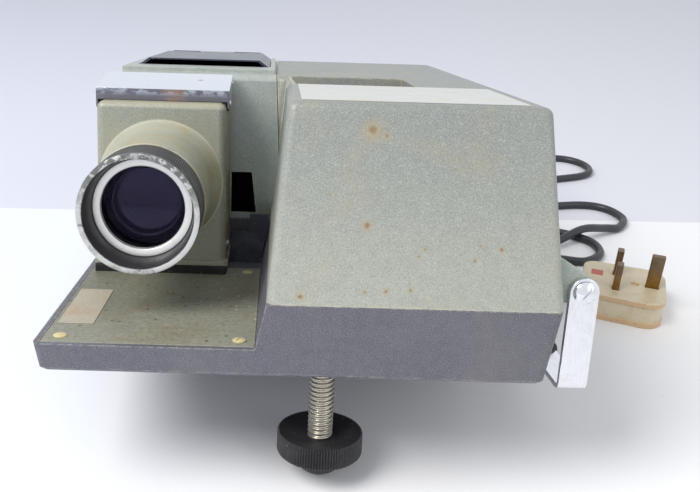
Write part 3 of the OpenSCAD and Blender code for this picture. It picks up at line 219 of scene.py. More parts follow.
# ---------------------------------------------------------------- the mains lead, made first
COIL_X, COIL_Y, COIL_START_R, COIL_PITCH, COIL_STEP = 112.0, 246.5, 43.5, 7.4, 6.8
COIL_IN, COIL_OUT = 2.0, 1.75
COIL_INNER_R = COIL_START_R - COIL_PITCH * (COIL_IN + 0.5)
COIL_END_R = COIL_INNER_R + COIL_PITCH * COIL_OUT
LEAD_D = CORD_R * 2000
LEAD_EXIT = at([85.0, 352.0, 17.0]) * 1000
PLUG_TURN = radians(-21)
PLUG_WAY = -np.array([np.cos(PLUG_TURN), np.sin(PLUG_TURN), 0])
START_POINTS = np.vstack([
    LEAD_EXIT, LEAD_EXIT + 10 * BACK, [76, 208, 15], [75, 221, 11.4], [74, 231, 10],
    [COIL_X - COIL_END_R, COIL_Y - LEAD_D, CORD_R * 1000 + COIL_STEP]])
RUN_POINTS = np.array([
    [COIL_X + LEAD_D, COIL_Y + COIL_START_R, 3.1], [148, 292, 3.1], [184, 297, 3.1],
    [220, 303, 3.1], [250, 309, 3.1], [267, 304, 3.1], [276, 290, 3.1], [274, 273, 3.1],
    [261, 261, 3.1], [237, 252, 3.1], [212, 242, 3.1], [187, 233, 3.1], [174, 221, 3.1],
    [172, 203, 3.1], [182, 189, 3.1], [200, 185, 3.1], [239, 192, 3.1], [259, 185, 3.1],
    [266, 165, 3.1], [256, 147, 3.1], [240, 138, 6.2], [219, 126, 10.2], [198, 113, 6.2],
    [176, 101, 3.1], [157, 98, 3.1], [142, 109, 3.1], [139, 127, 3.1], [150, 143, 3.1],
    [168, 147, 3.1], [191, 139, 3.1], [211, 131, 3.1], [225, 117, 3.1], [224, 97, 3.1],
    [208, 84, 3.1], [188, 87, 3.1], [172, 81, 3.1], [164, 67, 3.9], [168, 50, 6.2],
    [179, 39, 8.7], np.array([208, 27.5, 9]) + 20.05 * PLUG_WAY])


def eased(points, steps=6):
    """A Catmull-Rom curve through the points: between b and c, with a before and d after,
    (2b + (c - a)t + (2a - 5b + 4c - d)t^2 + (3b - a - 3c + d)t^3) / 2 for t from 0 to 1."""
    p = np.vstack([points[:1], points, points[-1:]])
    a, b, c, d = (p[k:len(p) - 3 + k, None] for k in range(4))
    t = (np.arange(steps) / steps)[None, :, None]
    curve = (2 * b + (c - a) * t + (2 * a - 5 * b + 4 * c - d) * t ** 2
             + (3 * b - a - 3 * c + d) * t ** 3) / 2
    return np.vstack([curve.reshape(-1, 3), points[-1:]])


def coil_points():
    """The coil's line: its radius falls by the pitch each turn for two and a half turns and
    grows again, and it climbs one layer, as a cube of the way, in the half turn between."""
    t = np.arange(0, COIL_IN + 0.5 + COIL_OUT + 1e-9, 1 / 60)
    radius = np.where(t < COIL_IN + 0.5, COIL_START_R - COIL_PITCH * t,
                      COIL_INNER_R + COIL_PITCH * (t - COIL_IN - 0.5))
    height = CORD_R * 1000 + COIL_STEP * np.clip((t - COIL_IN) * 2, 0, 1) ** 3
    angle = pi / 2 + 2 * pi * t
    return np.stack([COIL_X + radius * np.cos(angle), COIL_Y + radius * np.sin(angle), height], 1)


lead_line = np.vstack([eased(START_POINTS), coil_points()[::-1], eased(RUN_POINTS)]) / 1000
lead_line[:, 2] = np.maximum(lead_line[:, 2], CORD_R)
lead_length = float(np.linalg.norm(np.diff(lead_line, axis=0), axis=1).sum())
lead_curve = bpy.data.curves.new("mains_lead", "CURVE")
lead_curve.dimensions = "3D"
lead_curve.bevel_depth = CORD_R / POINT_RADIUS
lead_curve.bevel_resolution = 4
lead_curve.use_fill_caps = True
lead_spline = lead_curve.splines.new("POLY")
lead_spline.points.add(len(lead_line) - 1)
lead_spline.points.foreach_set("co", np.column_stack([lead_line, np.ones(len(lead_line))]).ravel())
lead_spline.points.foreach_set("radius", np.full(len(lead_line), POINT_RADIUS))
lead_spline.use_smooth = True
mains_lead = bpy.data.objects.new("mains_lead", lead_curve)
bpy.context.scene.collection.objects.link(mains_lead)
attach(mains_lead, "projector")
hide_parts("lead_start", "lead_coil", "lead_run")


# ---------------------------------------------------------------- nodes for the finishes
def tone(red, green, blue):
    """A colour as a monitor shows it, 0 to 255, turned into the linear one that nodes take."""
    c = np.array([red, green, blue]) / 255
    return (*np.where(c < 0.04045, c / 12.92, ((c + 0.055) / 1.055) ** 2.4), 1.0)


class Recipe:
    """Writes nodes into one material or one effect."""

    def __init__(self, tree):
        self.tree = tree

    def put(self, kind, inputs, out=0, **settings):
        """Adds a node, sets or links its inputs, and gives one of its outputs."""
        node = self.tree.nodes.new("ShaderNode" + kind)
        for key, value in settings.items():
            setattr(node, key, value)
        for key, value in inputs.items():
            if isinstance(value, bpy.types.NodeSocket):
                self.tree.links.new(value, node.inputs[key])
            else:
                node.inputs[key].default_value = value
        return node.outputs[out]

    def body_mm(self):
        """Where a point of the piece is, in millimetres of the body's own directions."""
        place = self.put("TexCoord", {}, "Object")
        turn = np.arctan2(UP[1], UP[2])
        back_to_body = np.array([ACROSS, BACK, UP])
        return self.put("Mapping", {
            "Vector": place, "Scale": (1000, 1000, 1000), "Rotation": (turn, 0, 0),
            "Location": tuple(-back_to_body @ ORIGIN * 1000)})

    def table_mm(self):
        """Where a point of the piece is, in millimetres of the shared frame."""
        return self.put("Mapping", {"Vector": self.put("TexCoord", {}, "Object"),
                                    "Scale": (1000, 1000, 1000)})

    def part(self, vector, axis):
        return self.put("SeparateXYZ", {0: vector}, "XYZ".index(axis))

    def noise(self, place, scale, detail=2.0, roughness=0.5, distortion=0.0):
        return self.put("TexNoise", {"Vector": place, "Scale": scale, "Detail": detail,
                                     "Roughness": roughness, "Distortion": distortion})

    def cells(self, place, scale, out=0):
        return self.put("TexVoronoi", {"Vector": place, "Scale": scale}, out)

    def stretch(self, place, scale, turn=(0, 0, 0)):
        return self.put("Mapping", {"Vector": place, "Scale": scale, "Rotation": turn})

    def sum(self, operation, a, b=0.0, clamp=False):
        return self.put("Math", {0: a, 1: b}, operation=operation, use_clamp=clamp)

    def band(self, value, low, high, to_low=0.0, to_high=1.0):
        """0 below low, 1 above high and smooth between, or the other way round."""
        if isinstance(low, float) and isinstance(high, float) and low > high:
            low, high, to_low, to_high = high, low, to_high, to_low
        return self.put("MapRange", {0: value, 1: low, 2: high, 3: to_low, 4: to_high},
                        interpolation_type="SMOOTHSTEP")

    def mix(self, share, a, b, blend="MIX"):
        return self.put("Mix", {0: share, 6: a, 7: b}, 2, data_type="RGBA", blend_type=blend)

    def over(self, base, top, share, amount):
        """A colour with another laid over it by a share of the amount."""
        return self.mix(self.sum("MULTIPLY", share, amount), base, top)

    def rubbed(self, base, top, place, reach, scale, amount):
        """A colour whose edges are rubbed, in patches, to another."""
        worn = self.use(WORN_EDGES, Place=place, Reach=reach, Scale=scale)["Worn"]
        return self.over(base, top, worn, amount)

    def dotted(self, base, top, place, scale, share, amount):
        """A colour with scattered dots of another."""
        dots = self.use(SPECKS, Place=place, Scale=scale, Share=share)["Speck"]
        return self.over(base, top, dots, amount)

    def near(self, place, point, reach, edge):
        """1 closer to the point than reach less edge, 0 further than reach."""
        distance = self.put("VectorMath", {0: place, 1: point}, 1, operation="DISTANCE")
        return self.band(distance, float(reach), float(max(reach - edge, 0)))

    def use(self, effect, **inputs):
        """Places an effect and gives its outputs by name."""
        node = self.tree.nodes.new("ShaderNodeGroup")
        node.node_tree = effect
        for key, value in inputs.items():
            socket = node.inputs[key.replace("_", " ")]
            if isinstance(value, bpy.types.NodeSocket):
                self.tree.links.new(value, socket)
            else:
                socket.default_value = value
        return node.outputs

    def bump(self, height, reach_mm, strength=1.0):
        return self.put("Bump", {"Strength": strength, "Distance": reach_mm / 1000,
                                 "Height": height})


def effect(name, inputs, outputs, write):
    """Makes an effect with named sockets. Its inputs are pairs of a kind and a first value."""
    tree = bpy.data.node_groups.new(name, "ShaderNodeTree")
    kinds = {"value": "NodeSocketFloat", "colour": "NodeSocketColor", "place": "NodeSocketVector"}
    for label, (kind, first) in inputs.items():
        socket = tree.interface.new_socket(label, in_out="INPUT", socket_type=kinds[kind])
        if first is not None:
            socket.default_value = first
    for label, kind in outputs.items():
        tree.interface.new_socket(label, in_out="OUTPUT", socket_type=kinds[kind])
    recipe = Recipe(tree)
    results = write(recipe, tree.nodes.new("NodeGroupInput").outputs)
    end = tree.nodes.new("NodeGroupOutput")
    for label, value in results.items():
        tree.links.new(value, end.inputs[label])
    return tree


def write_hammer(r, i):
    """Spattered metallic paint: noise of the grain's size lights its high spots and darkens its
    low ones, over a mottle nine times as large."""
    grain = r.noise(i["Place"], i["Scale"], 2.0, 0.6)
    mottle = r.noise(i["Place"], r.sum("MULTIPLY", i["Scale"], 0.11), 1.0)
    high = r.sum("MULTIPLY", r.band(grain, 0.5, 0.66), i["Amount"])
    low = r.sum("MULTIPLY", r.band(grain, 0.5, 0.34), i["Amount"])
    soft = r.sum("MULTIPLY", r.band(mottle, 0.35, 0.7), r.sum("MULTIPLY", i["Amount"], 0.3))
    colour = r.mix(high, i["Colour"], i["Light"])
    colour = r.mix(low, colour, i["Dark"])
    return {"Colour": r.mix(soft, colour, i["Dark"]), "Height": grain}


def write_worn_edges(r, i):
    """Edges: where the surface's normal and the normal of the same surface with round edges
    differ, broken up by noise."""
    rounded = r.put("Bevel", {"Radius": r.sum("MULTIPLY", i["Reach"], 0.001)}, samples=4)
    straight = r.put("NewGeometry", {}, "Normal")
    match = r.put("VectorMath", {0: rounded, 1: straight}, 1, operation="DOT_PRODUCT")
    edge = r.band(match, 0.985, 0.86)
    patch = r.band(r.noise(i["Place"], i["Scale"], 4.0, 0.65), 0.38, 0.6)
    return {"Worn": r.sum("MULTIPLY", edge, patch)}


def write_stain(r, i):
    """Broad soft patches: five octaves of noise, cut high."""
    cloud = r.noise(i["Place"], i["Scale"], 5.0, 0.62, 0.6)
    return {"Stain": r.band(cloud, 0.46, 0.72), "Cloud": cloud}


def write_specks(r, i):
    """Scattered dots: cells whose own random number is under the share, filled near their
    centre."""
    near = r.band(r.cells(i["Place"], i["Scale"]), 0.3, 0.12)
    pick = r.part(r.cells(i["Place"], i["Scale"], 1), "X")
    chosen = r.sum("LESS_THAN", pick, i["Share"])
    return {"Speck": r.sum("MULTIPLY", near, chosen)}


def write_scratches(r, i):
    """Hairlines: noise drawn out along two slanting ways, cut to thin lines, and let through
    only in patches."""
    lines = None
    for turn in ((0.2, 0.3, 0.5), (-0.4, 0.9, -0.7)):
        drawn = r.stretch(i["Place"], (0.06, 1.0, 1.0), turn)
        line = r.noise(drawn, i["Scale"], 1.0, 0.4)
        line = r.band(r.sum("ABSOLUTE", r.sum("SUBTRACT", line, 0.6)), 0.012, 0.0)
        lines = line if lines is None else r.sum("MAXIMUM", lines, line)
    patch = r.band(r.noise(i["Place"], r.sum("MULTIPLY", i["Scale"], 0.13)), 0.45, 0.65)
    return {"Scratch": r.sum("MULTIPLY", lines, patch)}


PLACE = {"Place": ("place", None)}
HAMMER = effect("hammer_paint", {**PLACE, "Scale": ("value", 1.0), "Amount": ("value", 0.5),
                                 "Colour": ("colour", (0.4, 0.4, 0.4, 1)),
                                 "Light": ("colour", (0.6, 0.6, 0.6, 1)),
                                 "Dark": ("colour", (0.2, 0.2, 0.2, 1))},
                {"Colour": "colour", "Height": "value"}, write_hammer)
WORN_EDGES = effect("worn_edges", {**PLACE, "Reach": ("value", 0.8), "Scale": ("value", 0.3)},
                    {"Worn": "value"}, write_worn_edges)
STAIN = effect("stain", {**PLACE, "Scale": ("value", 0.03)},
               {"Stain": "value", "Cloud": "value"}, write_stain)
SPECKS = effect("specks", {**PLACE, "Scale": ("value", 0.2), "Share": ("value", 0.2)},
                {"Speck": "value"}, write_specks)
SCRATCHES = effect("scratches", {**PLACE, "Scale": ("value", 0.5)},
                   {"Scratch": "value"}, write_scratches)


def new_finish(name, **fixed):
    """A material with its recipe and its Principled node, whose fixed numbers are set on it."""
    material = bpy.data.materials.new(name)
    material.use_nodes = True
    shader = material.node_tree.nodes["Principled BSDF"]
    for key, value in fixed.items():
        shader.inputs[key.replace("_", " ")].default_value = value
    return material, Recipe(material.node_tree), shader


def feed(recipe, shader, **sockets):
    for key, value in sockets.items():
        recipe.tree.links.new(value, shader.inputs[key.replace("_", " ")])


# ---------------------------------------------------------------- finishes
RUST_SPOTS = [((28.8, 12.2, 106.4), 4.6), ((35.1, 11.9, 104.1), 1.8), ((28, 5.7, 67.2), 2.7),
              ((37.1, 1.2, 40.3), 1.8), ((47.2, 1.3, 41.1), 1.5), ((52.6, 4.2, 57.9), 1.3),
              ((50.3, 3.7, 55), 1.2), ((28.3, 1.1, 39.7), 1.3), ((73.8, 3.5, 54), 1.4),
              ((84.8, 4.3, 58.9), 1.5), ((12.1, 7.7, 79.5), 1.2), ((75.9, 4.5, 60.3), 1.1),
              ((1, 0.6, 36.8), 2.4)]


def green_paint(name, low, high, yellow=0.35, edge_tone=(206, 199, 168), spots=()):
    """Grey-green hammered paint: its tone goes from low to high up the cover, with yellowed
    stains and edges, and rust where it has been chipped."""
    material, r, shader = new_finish(name, Metallic=0.12)
    place = r.body_mm()
    height = r.band(r.part(place, "Z"), 30.0, 118.0)
    paint = r.mix(height, tone(*low), tone(*high))
    flecked = r.use(HAMMER, Place=place, Scale=1.9, Amount=0.3, Colour=paint,
                    Light=tone(206, 210, 200), Dark=tone(104, 110, 104))
    colour, grain = flecked["Colour"], flecked["Height"]
    stain = r.use(STAIN, Place=place, Scale=0.028)
    colour = r.over(colour, tone(176, 162, 118), stain["Stain"], yellow)
    colour = r.rubbed(colour, tone(*edge_tone), place, 1.6, 0.22, 0.8)
    shifted = r.put("VectorMath", {0: r.put("TexNoise", {
        "Vector": place, "Scale": 0.45, "Detail": 3.0}, 1), 1: (2.2, 2.2, 2.2), 2: place},
        operation="MULTIPLY_ADD")
    rust = None
    for point, reach in spots:
        off = tuple(np.array(point) + 1.1)
        halo = r.near(shifted, off, reach * 1.5, reach * 1.4)
        core = r.near(shifted, off, reach * 0.6, reach * 0.5)
        colour = r.over(colour, tone(172, 152, 110), halo, 0.5)
        colour = r.over(colour, tone(124, 94, 62), core, 0.7)
        rust = core if rust is None else r.sum("MAXIMUM", rust, core)
    rough = r.band(grain, 0.3, 0.7, 0.52, 0.38)
    if rust is not None:
        rough = r.sum("ADD", rough, r.sum("MULTIPLY", rust, 0.3), True)
    feed(r, shader, Base_Color=colour, Roughness=rough, Normal=r.bump(grain, 0.12, 0.55))
    return material, r, shader, place, colour


hood_paint = green_paint("hood_paint", (168, 170, 160), (139, 143, 140), 0.24, spots=RUST_SPOTS)[0]
lamp_house_paint = green_paint("lamp_house_paint", (156, 167, 161), (166, 174, 172), 0.1)[0]


def column_paint():
    """The same paint on the lens column, yellowed and scraped bare on its collar, and browned
    down its right edge."""
    material, r, shader, place, colour = green_paint(
        "column_paint", (146, 148, 134), (146, 148, 136), 0.25, (190, 184, 152))
    x, y, z = (r.part(place, axis) for axis in "XYZ")
    collar = r.band(y, 110.2, 108.8)
    cloud = r.use(STAIN, Place=place, Scale=0.06)
    yellowed = r.mix(cloud["Stain"], tone(182, 181, 164), tone(184, 172, 132))
    colour = r.over(colour, yellowed, collar, 0.7)
    scraped = r.use(SCRATCHES, Place=place, Scale=0.5)["Scratch"]
    colour = r.over(colour, tone(98, 92, 76), scraped, collar)
    # Painted highlight: the column's top and rounded top edge are painted lighter and yellower,
    # broken up by noise.
    painted_top_highlight = r.sum("MULTIPLY", r.band(z, 101.0, 104.4), cloud["Cloud"])
    colour = r.mix(painted_top_highlight, colour, tone(178, 172, 142))
    browned = r.sum("MULTIPLY", r.band(x, -38.8, -37.2),
                    r.band(r.noise(place, 0.12, 4.0), 0.36, 0.58))
    colour = r.over(colour, tone(122, 94, 62), browned, 0.7)
    radius = r.put("VectorMath", {0: r.stretch(place, (1, 0, 1)), 1: LENS_AXIS}, 1,
                   operation="DISTANCE")
    rim = r.sum("MULTIPLY", r.band(r.sum("ABSOLUTE", r.sum("SUBTRACT", radius, 33.1)), 0.9, 0.3),
                r.band(y, 107.0, 109.0))
    colour = r.over(colour, tone(214, 212, 196), rim, 0.6)
    feed(r, shader, Base_Color=colour)
    return material


def tray_paint():
    """Purple-grey hammered paint with coarse bright flecks and rubbed edges."""
    material, r, shader = new_finish("tray_paint", Metallic=0.1)
    place = r.body_mm()
    flecked = r.use(HAMMER, Place=place, Scale=1.9, Amount=0.5, Colour=tone(98, 98, 107),
                    Light=tone(142, 142, 153), Dark=tone(64, 64, 73))
    stain = r.use(STAIN, Place=place, Scale=0.02)
    colour = r.over(flecked["Colour"], tone(128, 124, 122), stain["Stain"], 0.25)
    colour = r.rubbed(colour, tone(196, 194, 190), place, 1.2, 0.35, 0.6)
    feed(r, shader, Base_Color=colour, Roughness=r.band(flecked["Height"], 0.3, 0.7, 0.55, 0.36),
         Normal=r.bump(flecked["Height"], 0.14, 0.6))
    return material


def shelf_paint():
    """Flat olive-grey paint, rubbed brown in front, with pale chips and hairlines."""
    material, r, shader = new_finish("shelf_paint")
    place = r.body_mm()
    cloud = r.use(STAIN, Place=place, Scale=0.035)
    colour = r.mix(cloud["Cloud"], tone(126, 127, 114), tone(154, 154, 140))
    colour = r.over(colour, tone(128, 112, 84), cloud["Stain"], 0.45)
    # Painted shade: the shelf is painted darker at its left under the lens, fading out towards the
    # front and to the right.
    lens_shade_painted = r.sum("MULTIPLY", r.band(r.part(place, "X"), -58.0, -100.0),
                      r.band(r.part(place, "Y"), 4.0, 60.0))
    colour = r.over(colour, tone(94, 96, 82), lens_shade_painted, 0.6)
    grit = r.noise(place, 0.5, 5.0, 0.7)
    colour = r.mix(r.band(grit, 0.5, 0.68, 0.0, 0.55), colour, tone(92, 90, 74))
    colour = r.mix(r.band(grit, 0.46, 0.3, 0.0, 0.4), colour, tone(176, 176, 158))
    right = r.band(r.part(place, "X"), -58.0, -26.0)
    chips = r.use(SPECKS, Place=place, Scale=0.32, Share=0.22)["Speck"]
    colour = r.over(colour, tone(216, 208, 180), chips, r.sum("MULTIPLY", right, 0.75))
    dots = r.use(SPECKS, Place=r.stretch(place, (1.3, 1.1, 1), (0, 0, 0.6)), Scale=0.21,
                 Share=0.13)["Speck"]
    colour = r.over(colour, tone(64, 54, 42), dots, 0.8)
    lines = r.use(SCRATCHES, Place=place, Scale=0.42)["Scratch"]
    colour = r.over(colour, tone(196, 192, 172), lines, 0.35)
    colour = r.rubbed(colour, tone(188, 184, 166), place, 0.9, 0.4, 1.0)
    fine = r.noise(place, 1.6, 3.0)
    feed(r, shader, Base_Color=colour, Roughness=r.band(cloud["Cloud"], 0.3, 0.7, 0.58, 0.42),
         Normal=r.bump(fine, 0.05, 0.5))
    return material


def bare_metal(name, colour, stain_tone, stain_share, rough, brushed=(1, 1, 1), metallic=1.0,
               scratch=0.4):
    """Bare or plated metal: brushed along one way, with stains that dull it and hairlines."""
    material, r, shader = new_finish(name)
    place = r.body_mm()
    brush = r.noise(r.stretch(place, brushed), 2.2, 3.0, 0.6)
    stain = r.use(STAIN, Place=place, Scale=0.06)["Stain"]
    dull = r.sum("MULTIPLY", stain, stain_share)
    base = r.mix(r.band(brush, 0.3, 0.7, 0.0, 0.22), tone(*colour),
                 tone(*[c * 0.8 for c in colour]))
    base = r.mix(dull, base, tone(*stain_tone))
    line = r.use(SCRATCHES, Place=place, Scale=0.7)["Scratch"]
    base = r.over(base, tone(*[c * 0.6 for c in colour]), line, scratch)
    rough_low = r.band(brush, 0.3, 0.7, rough * 0.8, rough * 1.3)
    roughness = r.sum("ADD", rough_low, r.sum("MULTIPLY", dull, 0.4), True)
    feed(r, shader, Base_Color=base, Roughness=roughness,
         Metallic=r.sum("SUBTRACT", metallic, dull, True), Normal=r.bump(brush, 0.02, 0.35))
    return material


def flap_chrome():
    """Bright chrome, pitted, with brown rust along its front lip. A blue-grey reflection and a
    dark reflection are painted on the lip, the dark one in blotches and all along the lip's lower
    edge.
    """
    material, r, shader = new_finish("flap_chrome")
    place = r.body_mm()
    z = r.part(place, "Z")
    lip = r.sum("MULTIPLY", r.band(z, 111.0, 110.5), r.band(r.part(place, "Y"), 119.6, 119.1))
    blotch = r.noise(r.stretch(place, (0.55, 1, 1)), 0.3, 4.0, 0.62)
    low = r.band(z, 109.8, 106.4)
    # Painted dark reflection on the lip: in blotches, and all along its lower edge.
    painted_dark_reflection = r.sum("MULTIPLY", lip, r.sum("MAXIMUM", r.band(blotch, 0.4, 0.56), low))
    middle = r.near(r.stretch(place, (1, 0, 0)), (-66.0, 0, 0), 9.0, 7.0)
    rust = r.sum("MULTIPLY", r.sum("MULTIPLY", lip, middle), r.band(blotch, 0.36, 0.5))
    pits = r.use(SPECKS, Place=place, Scale=0.11, Share=0.1)["Speck"]
    # Painted reflection: the chrome lip is painted a darker blue-grey.
    base = r.over(tone(226, 230, 238), tone(124, 128, 146), lip, 0.6)
    base = r.over(base, tone(84, 80, 88), painted_dark_reflection, 0.75)
    base = r.over(base, tone(158, 122, 104), rust, 0.6)
    base = r.over(base, tone(104, 80, 60), pits, 0.6)
    gloss = r.noise(r.stretch(place, (0.2, 2, 2)), 0.8, 3.0)
    rough = r.sum("ADD", r.band(gloss, 0.3, 0.7, 0.13, 0.24), r.sum("MULTIPLY", painted_dark_reflection, 0.3))
    rough = r.sum("ADD", rough, r.sum("MULTIPLY", rust, 0.4), True)
    metal = r.sum("SUBTRACT", 1.0, r.sum("MULTIPLY", rust, 0.85), True)
    feed(r, shader, Base_Color=base, Roughness=rough, Metallic=metal,
         Normal=r.bump(blotch, 0.03, 0.3))
    return material


def enamel(name, colour, light, rough=0.32, edge=0.5, fixed=None, grain=1.4):
    """Dark stoved enamel or moulded plastic: a faint grain, soft dust and rubbed edges."""
    material, r, shader = new_finish(name, **(fixed or {}))
    place = r.body_mm()
    cloud = r.use(STAIN, Place=place, Scale=0.05)
    base = r.over(tone(*colour), tone(*light), cloud["Stain"], 0.3)
    base = r.rubbed(base, tone(*light), place, 0.7, 0.5, edge)
    base = r.dotted(base, tone(170, 168, 160), place, 0.5, 0.08, 0.35)
    fine = r.noise(place, grain, 3.0)
    feed(r, shader, Base_Color=base,
         Roughness=r.band(cloud["Cloud"], 0.3, 0.7, rough * 1.35, rough),
         Normal=r.bump(fine, 0.04, 0.4))
    return material


def ring_black():
    """Black anodised focusing ring whose front rim is rubbed to bright metal, with chips of
    black left in it and dents of bright metal on the teeth."""
    material, r, shader = new_finish("focus_ring_black")
    place = r.body_mm()
    y = r.part(place, "Y")
    radius = r.put("VectorMath", {0: r.stretch(place, (1, 0, 1)), 1: LENS_AXIS}, 1,
                   operation="DISTANCE")
    ragged = r.sum("ADD", radius, r.sum("MULTIPLY", r.sum(
        "SUBTRACT", r.noise(place, 0.5, 4.0, 0.6), 0.5), 1.1))
    rim = r.sum("MULTIPLY", r.band(ragged, 25.35, 25.75),
                r.band(r.sum("ADD", y, r.sum("MULTIPLY", r.noise(place, 0.4), 0.8)), 34.6, 33.9))
    chips = r.band(r.noise(place, 0.28, 5.0, 0.7), 0.6, 0.67)
    kept = r.sum("MULTIPLY", r.band(r.part(place, "Z"), 52.0, 84.0),
                 r.band(r.noise(place, 0.35, 4.0, 0.7), 0.4, 0.52))
    chips = r.sum("MAXIMUM", chips, kept)
    bright = r.sum("MULTIPLY", rim, r.sum("SUBTRACT", 1.0, r.sum("MULTIPLY", chips, 0.8)))
    teeth = r.sum("MULTIPLY", r.band(radius, 28.05, 28.3), r.band(r.noise(place, 0.16, 3.0),
                                                                  0.52, 0.66))
    bright = r.sum("MAXIMUM", bright, r.sum("MULTIPLY", teeth, 0.18))
    smear = r.use(STAIN, Place=place, Scale=0.07)
    black = r.mix(smear["Cloud"], tone(30, 30, 33), tone(62, 62, 66))
    base = r.mix(bright, black, r.mix(smear["Stain"], tone(206, 206, 204), tone(150, 148, 144)))
    feed(r, shader, Base_Color=base, Metallic=r.sum("MULTIPLY", bright, 0.85),
         Roughness=r.band(smear["Cloud"], 0.3, 0.7, 0.5, 0.34),
         Normal=r.bump(chips, 0.05, 0.4))
    return material


def spun_ring():
    """Bright satin ring: fine circles from the lathe, drawn along the piece's own round."""
    material, r, shader = new_finish("silver_ring_satin")
    round_way = r.put("UVMap", {}, uv_map="around")
    circles = r.noise(r.stretch(round_way, (3, 90, 1)), 6.0, 3.0, 0.6)
    place = r.body_mm()
    cloud = r.use(STAIN, Place=place, Scale=0.12)
    base = r.mix(r.band(circles, 0.3, 0.7, 0.0, 0.25), tone(236, 236, 234), tone(190, 190, 188))
    base = r.over(base, tone(200, 190, 176), cloud["Stain"], 0.3)
    feed(r, shader, Base_Color=base, Metallic=r.band(cloud["Cloud"], 0.3, 0.7, 0.45, 0.7),
         Roughness=r.band(circles, 0.3, 0.7, 0.3, 0.44), Normal=r.bump(circles, 0.02, 0.3))
    return material


def coated_glass(name, colour, tint, rough=0.02):
    """Ground glass with a violet coating and a film of dust."""
    material, r, shader = new_finish(name, Transmission_Weight=1.0, IOR=1.52,
                                     Specular_Tint=tone(*tint))
    place = r.body_mm()
    film = r.noise(place, 0.25, 4.0)
    feed(r, shader, Base_Color=r.mix(film, tone(*colour), tone(*[c * 0.85 for c in colour])),
         Roughness=r.band(film, 0.4, 0.8, rough, rough + 0.1))
    return material


def plain_moulding(name, colour, other, rough=0.45, scale=0.06, metallic=0.0, table=False,
                   grain_mm=0.05):
    """A plain piece in two close tones of broad noise, with a fine grain in its surface."""
    material, r, shader = new_finish(name, Metallic=metallic)
    place = r.table_mm() if table else r.body_mm()
    cloud = r.use(STAIN, Place=place, Scale=scale)
    fine = r.noise(place, 1.5, 3.0)
    base = r.mix(cloud["Cloud"], tone(*colour), tone(*other))
    feed(r, shader, Base_Color=base,
         Roughness=r.band(cloud["Cloud"], 0.3, 0.7, rough * 1.2, rough * 0.85),
         Normal=r.bump(fine, grain_mm, 0.4))
    return material


def plug_cream():
    """Old cream moulding, tan on its two rims, stained, with rubbed edges and scattered dark dots.
    """
    material, r, shader = new_finish("plug_cream")
    place = r.table_mm()
    z = r.part(place, "Z")
    cloud = r.use(STAIN, Place=place, Scale=0.09)
    face = r.mix(cloud["Cloud"], tone(196, 186, 158), tone(224, 208, 178))
    rims = r.sum("MAXIMUM", r.band(z, 4.2, 3.2), r.sum("MULTIPLY", r.band(z, 13.6, 14.6),
                                                      r.band(z, 17.7, 17.2)))
    base = r.over(face, tone(204, 164, 122), rims, 0.75)
    base = r.over(base, tone(164, 140, 104), cloud["Stain"], 0.35)
    base = r.rubbed(base, tone(190, 140, 96), place, 1.0, 0.3, 0.5)
    base = r.dotted(base, tone(120, 92, 62), place, 0.4, 0.15, 0.4)
    feed(r, shader, Base_Color=base, Roughness=r.band(cloud["Cloud"], 0.3, 0.7, 0.42, 0.28),
         Normal=r.bump(r.noise(place, 0.9, 3.0), 0.05, 0.4))
    return material


def pin_brass():
    """Brass gone brown towards the pins' feet and rubbed bright at their ends."""
    material, r, shader = new_finish("pin_brass", Metallic=1.0)
    place = r.table_mm()
    high = r.band(r.part(place, "Z"), 20.0, 36.0)
    cloud = r.use(STAIN, Place=place, Scale=0.2)
    base = r.mix(high, tone(176, 132, 66), tone(138, 122, 104))
    base = r.mix(cloud["Cloud"], base, tone(92, 74, 52))
    feed(r, shader, Base_Color=base, Roughness=r.band(cloud["Cloud"], 0.3, 0.7, 0.5, 0.3),
         Normal=r.bump(r.noise(r.stretch(place, (1, 1, 0.2)), 2.0, 3.0), 0.03, 0.5))
    return material


def striped(name, colour, dark, way, pitch, rough=0.4, metallic=0.6):
    """Sheets or wires side by side: a wave along one way, one crest for each pitch."""
    material, r, shader = new_finish(name, Metallic=metallic)
    place = r.body_mm()
    wave = r.sum("SINE", r.sum("MULTIPLY", r.part(place, way), 2 * pi / pitch))
    step = r.band(wave, -0.6, 0.6)
    fine = r.noise(place, 1.2, 3.0)
    base = r.mix(step, tone(*dark), tone(*colour))
    base = r.mix(r.band(fine, 0.4, 0.7, 0.0, 0.4), base, tone(*dark))
    feed(r, shader, Base_Color=base, Roughness=r.band(fine, 0.3, 0.7, rough, rough * 1.4),
         Normal=r.bump(step, 0.12, 0.7))
    return material


column_finish = column_paint()
tray_finish = tray_paint()
shelf_finish = shelf_paint()
panel_metal = bare_metal("panel_satin", (212, 213, 210), (190, 182, 150), 0.35, 0.42,
                         (0.05, 1, 1), 0.35, 0.3)
rating_metal = bare_metal("rating_plate_satin", (186, 178, 160), (172, 136, 106), 0.45, 0.5,
                          (1, 0.05, 1), 0.25)
bright_chrome = bare_metal("handle_chrome", (232, 233, 238), (170, 160, 146), 0.14, 0.13,
                           (1, 1, 0.1), 1.0, 0.25)
screw_nickel = bare_metal("screw_nickel", (206, 204, 198), (140, 120, 90), 0.4, 0.25)
thread_zinc = bare_metal("thread_zinc", (196, 190, 176), (120, 108, 88), 0.35, 0.26)
flap_finish = flap_chrome()
lid_enamel = enamel("lid_enamel", (26, 32, 48), (62, 74, 100), 0.22, 0.4, {"Coat_Weight": 0.15})
navy_enamel = enamel("bracket_enamel", (22, 28, 44), (92, 100, 116), 0.4, 0.7)
black_moulding = enamel("black_moulding", (34, 34, 36), (84, 84, 86), 0.42, 0.35)
rubber = enamel("foot_rubber", (36, 36, 38), (74, 74, 74), 0.6, 0.3)
matt_black = enamel("matt_black", (20, 20, 22), (46, 46, 48), 0.62, 0.3)
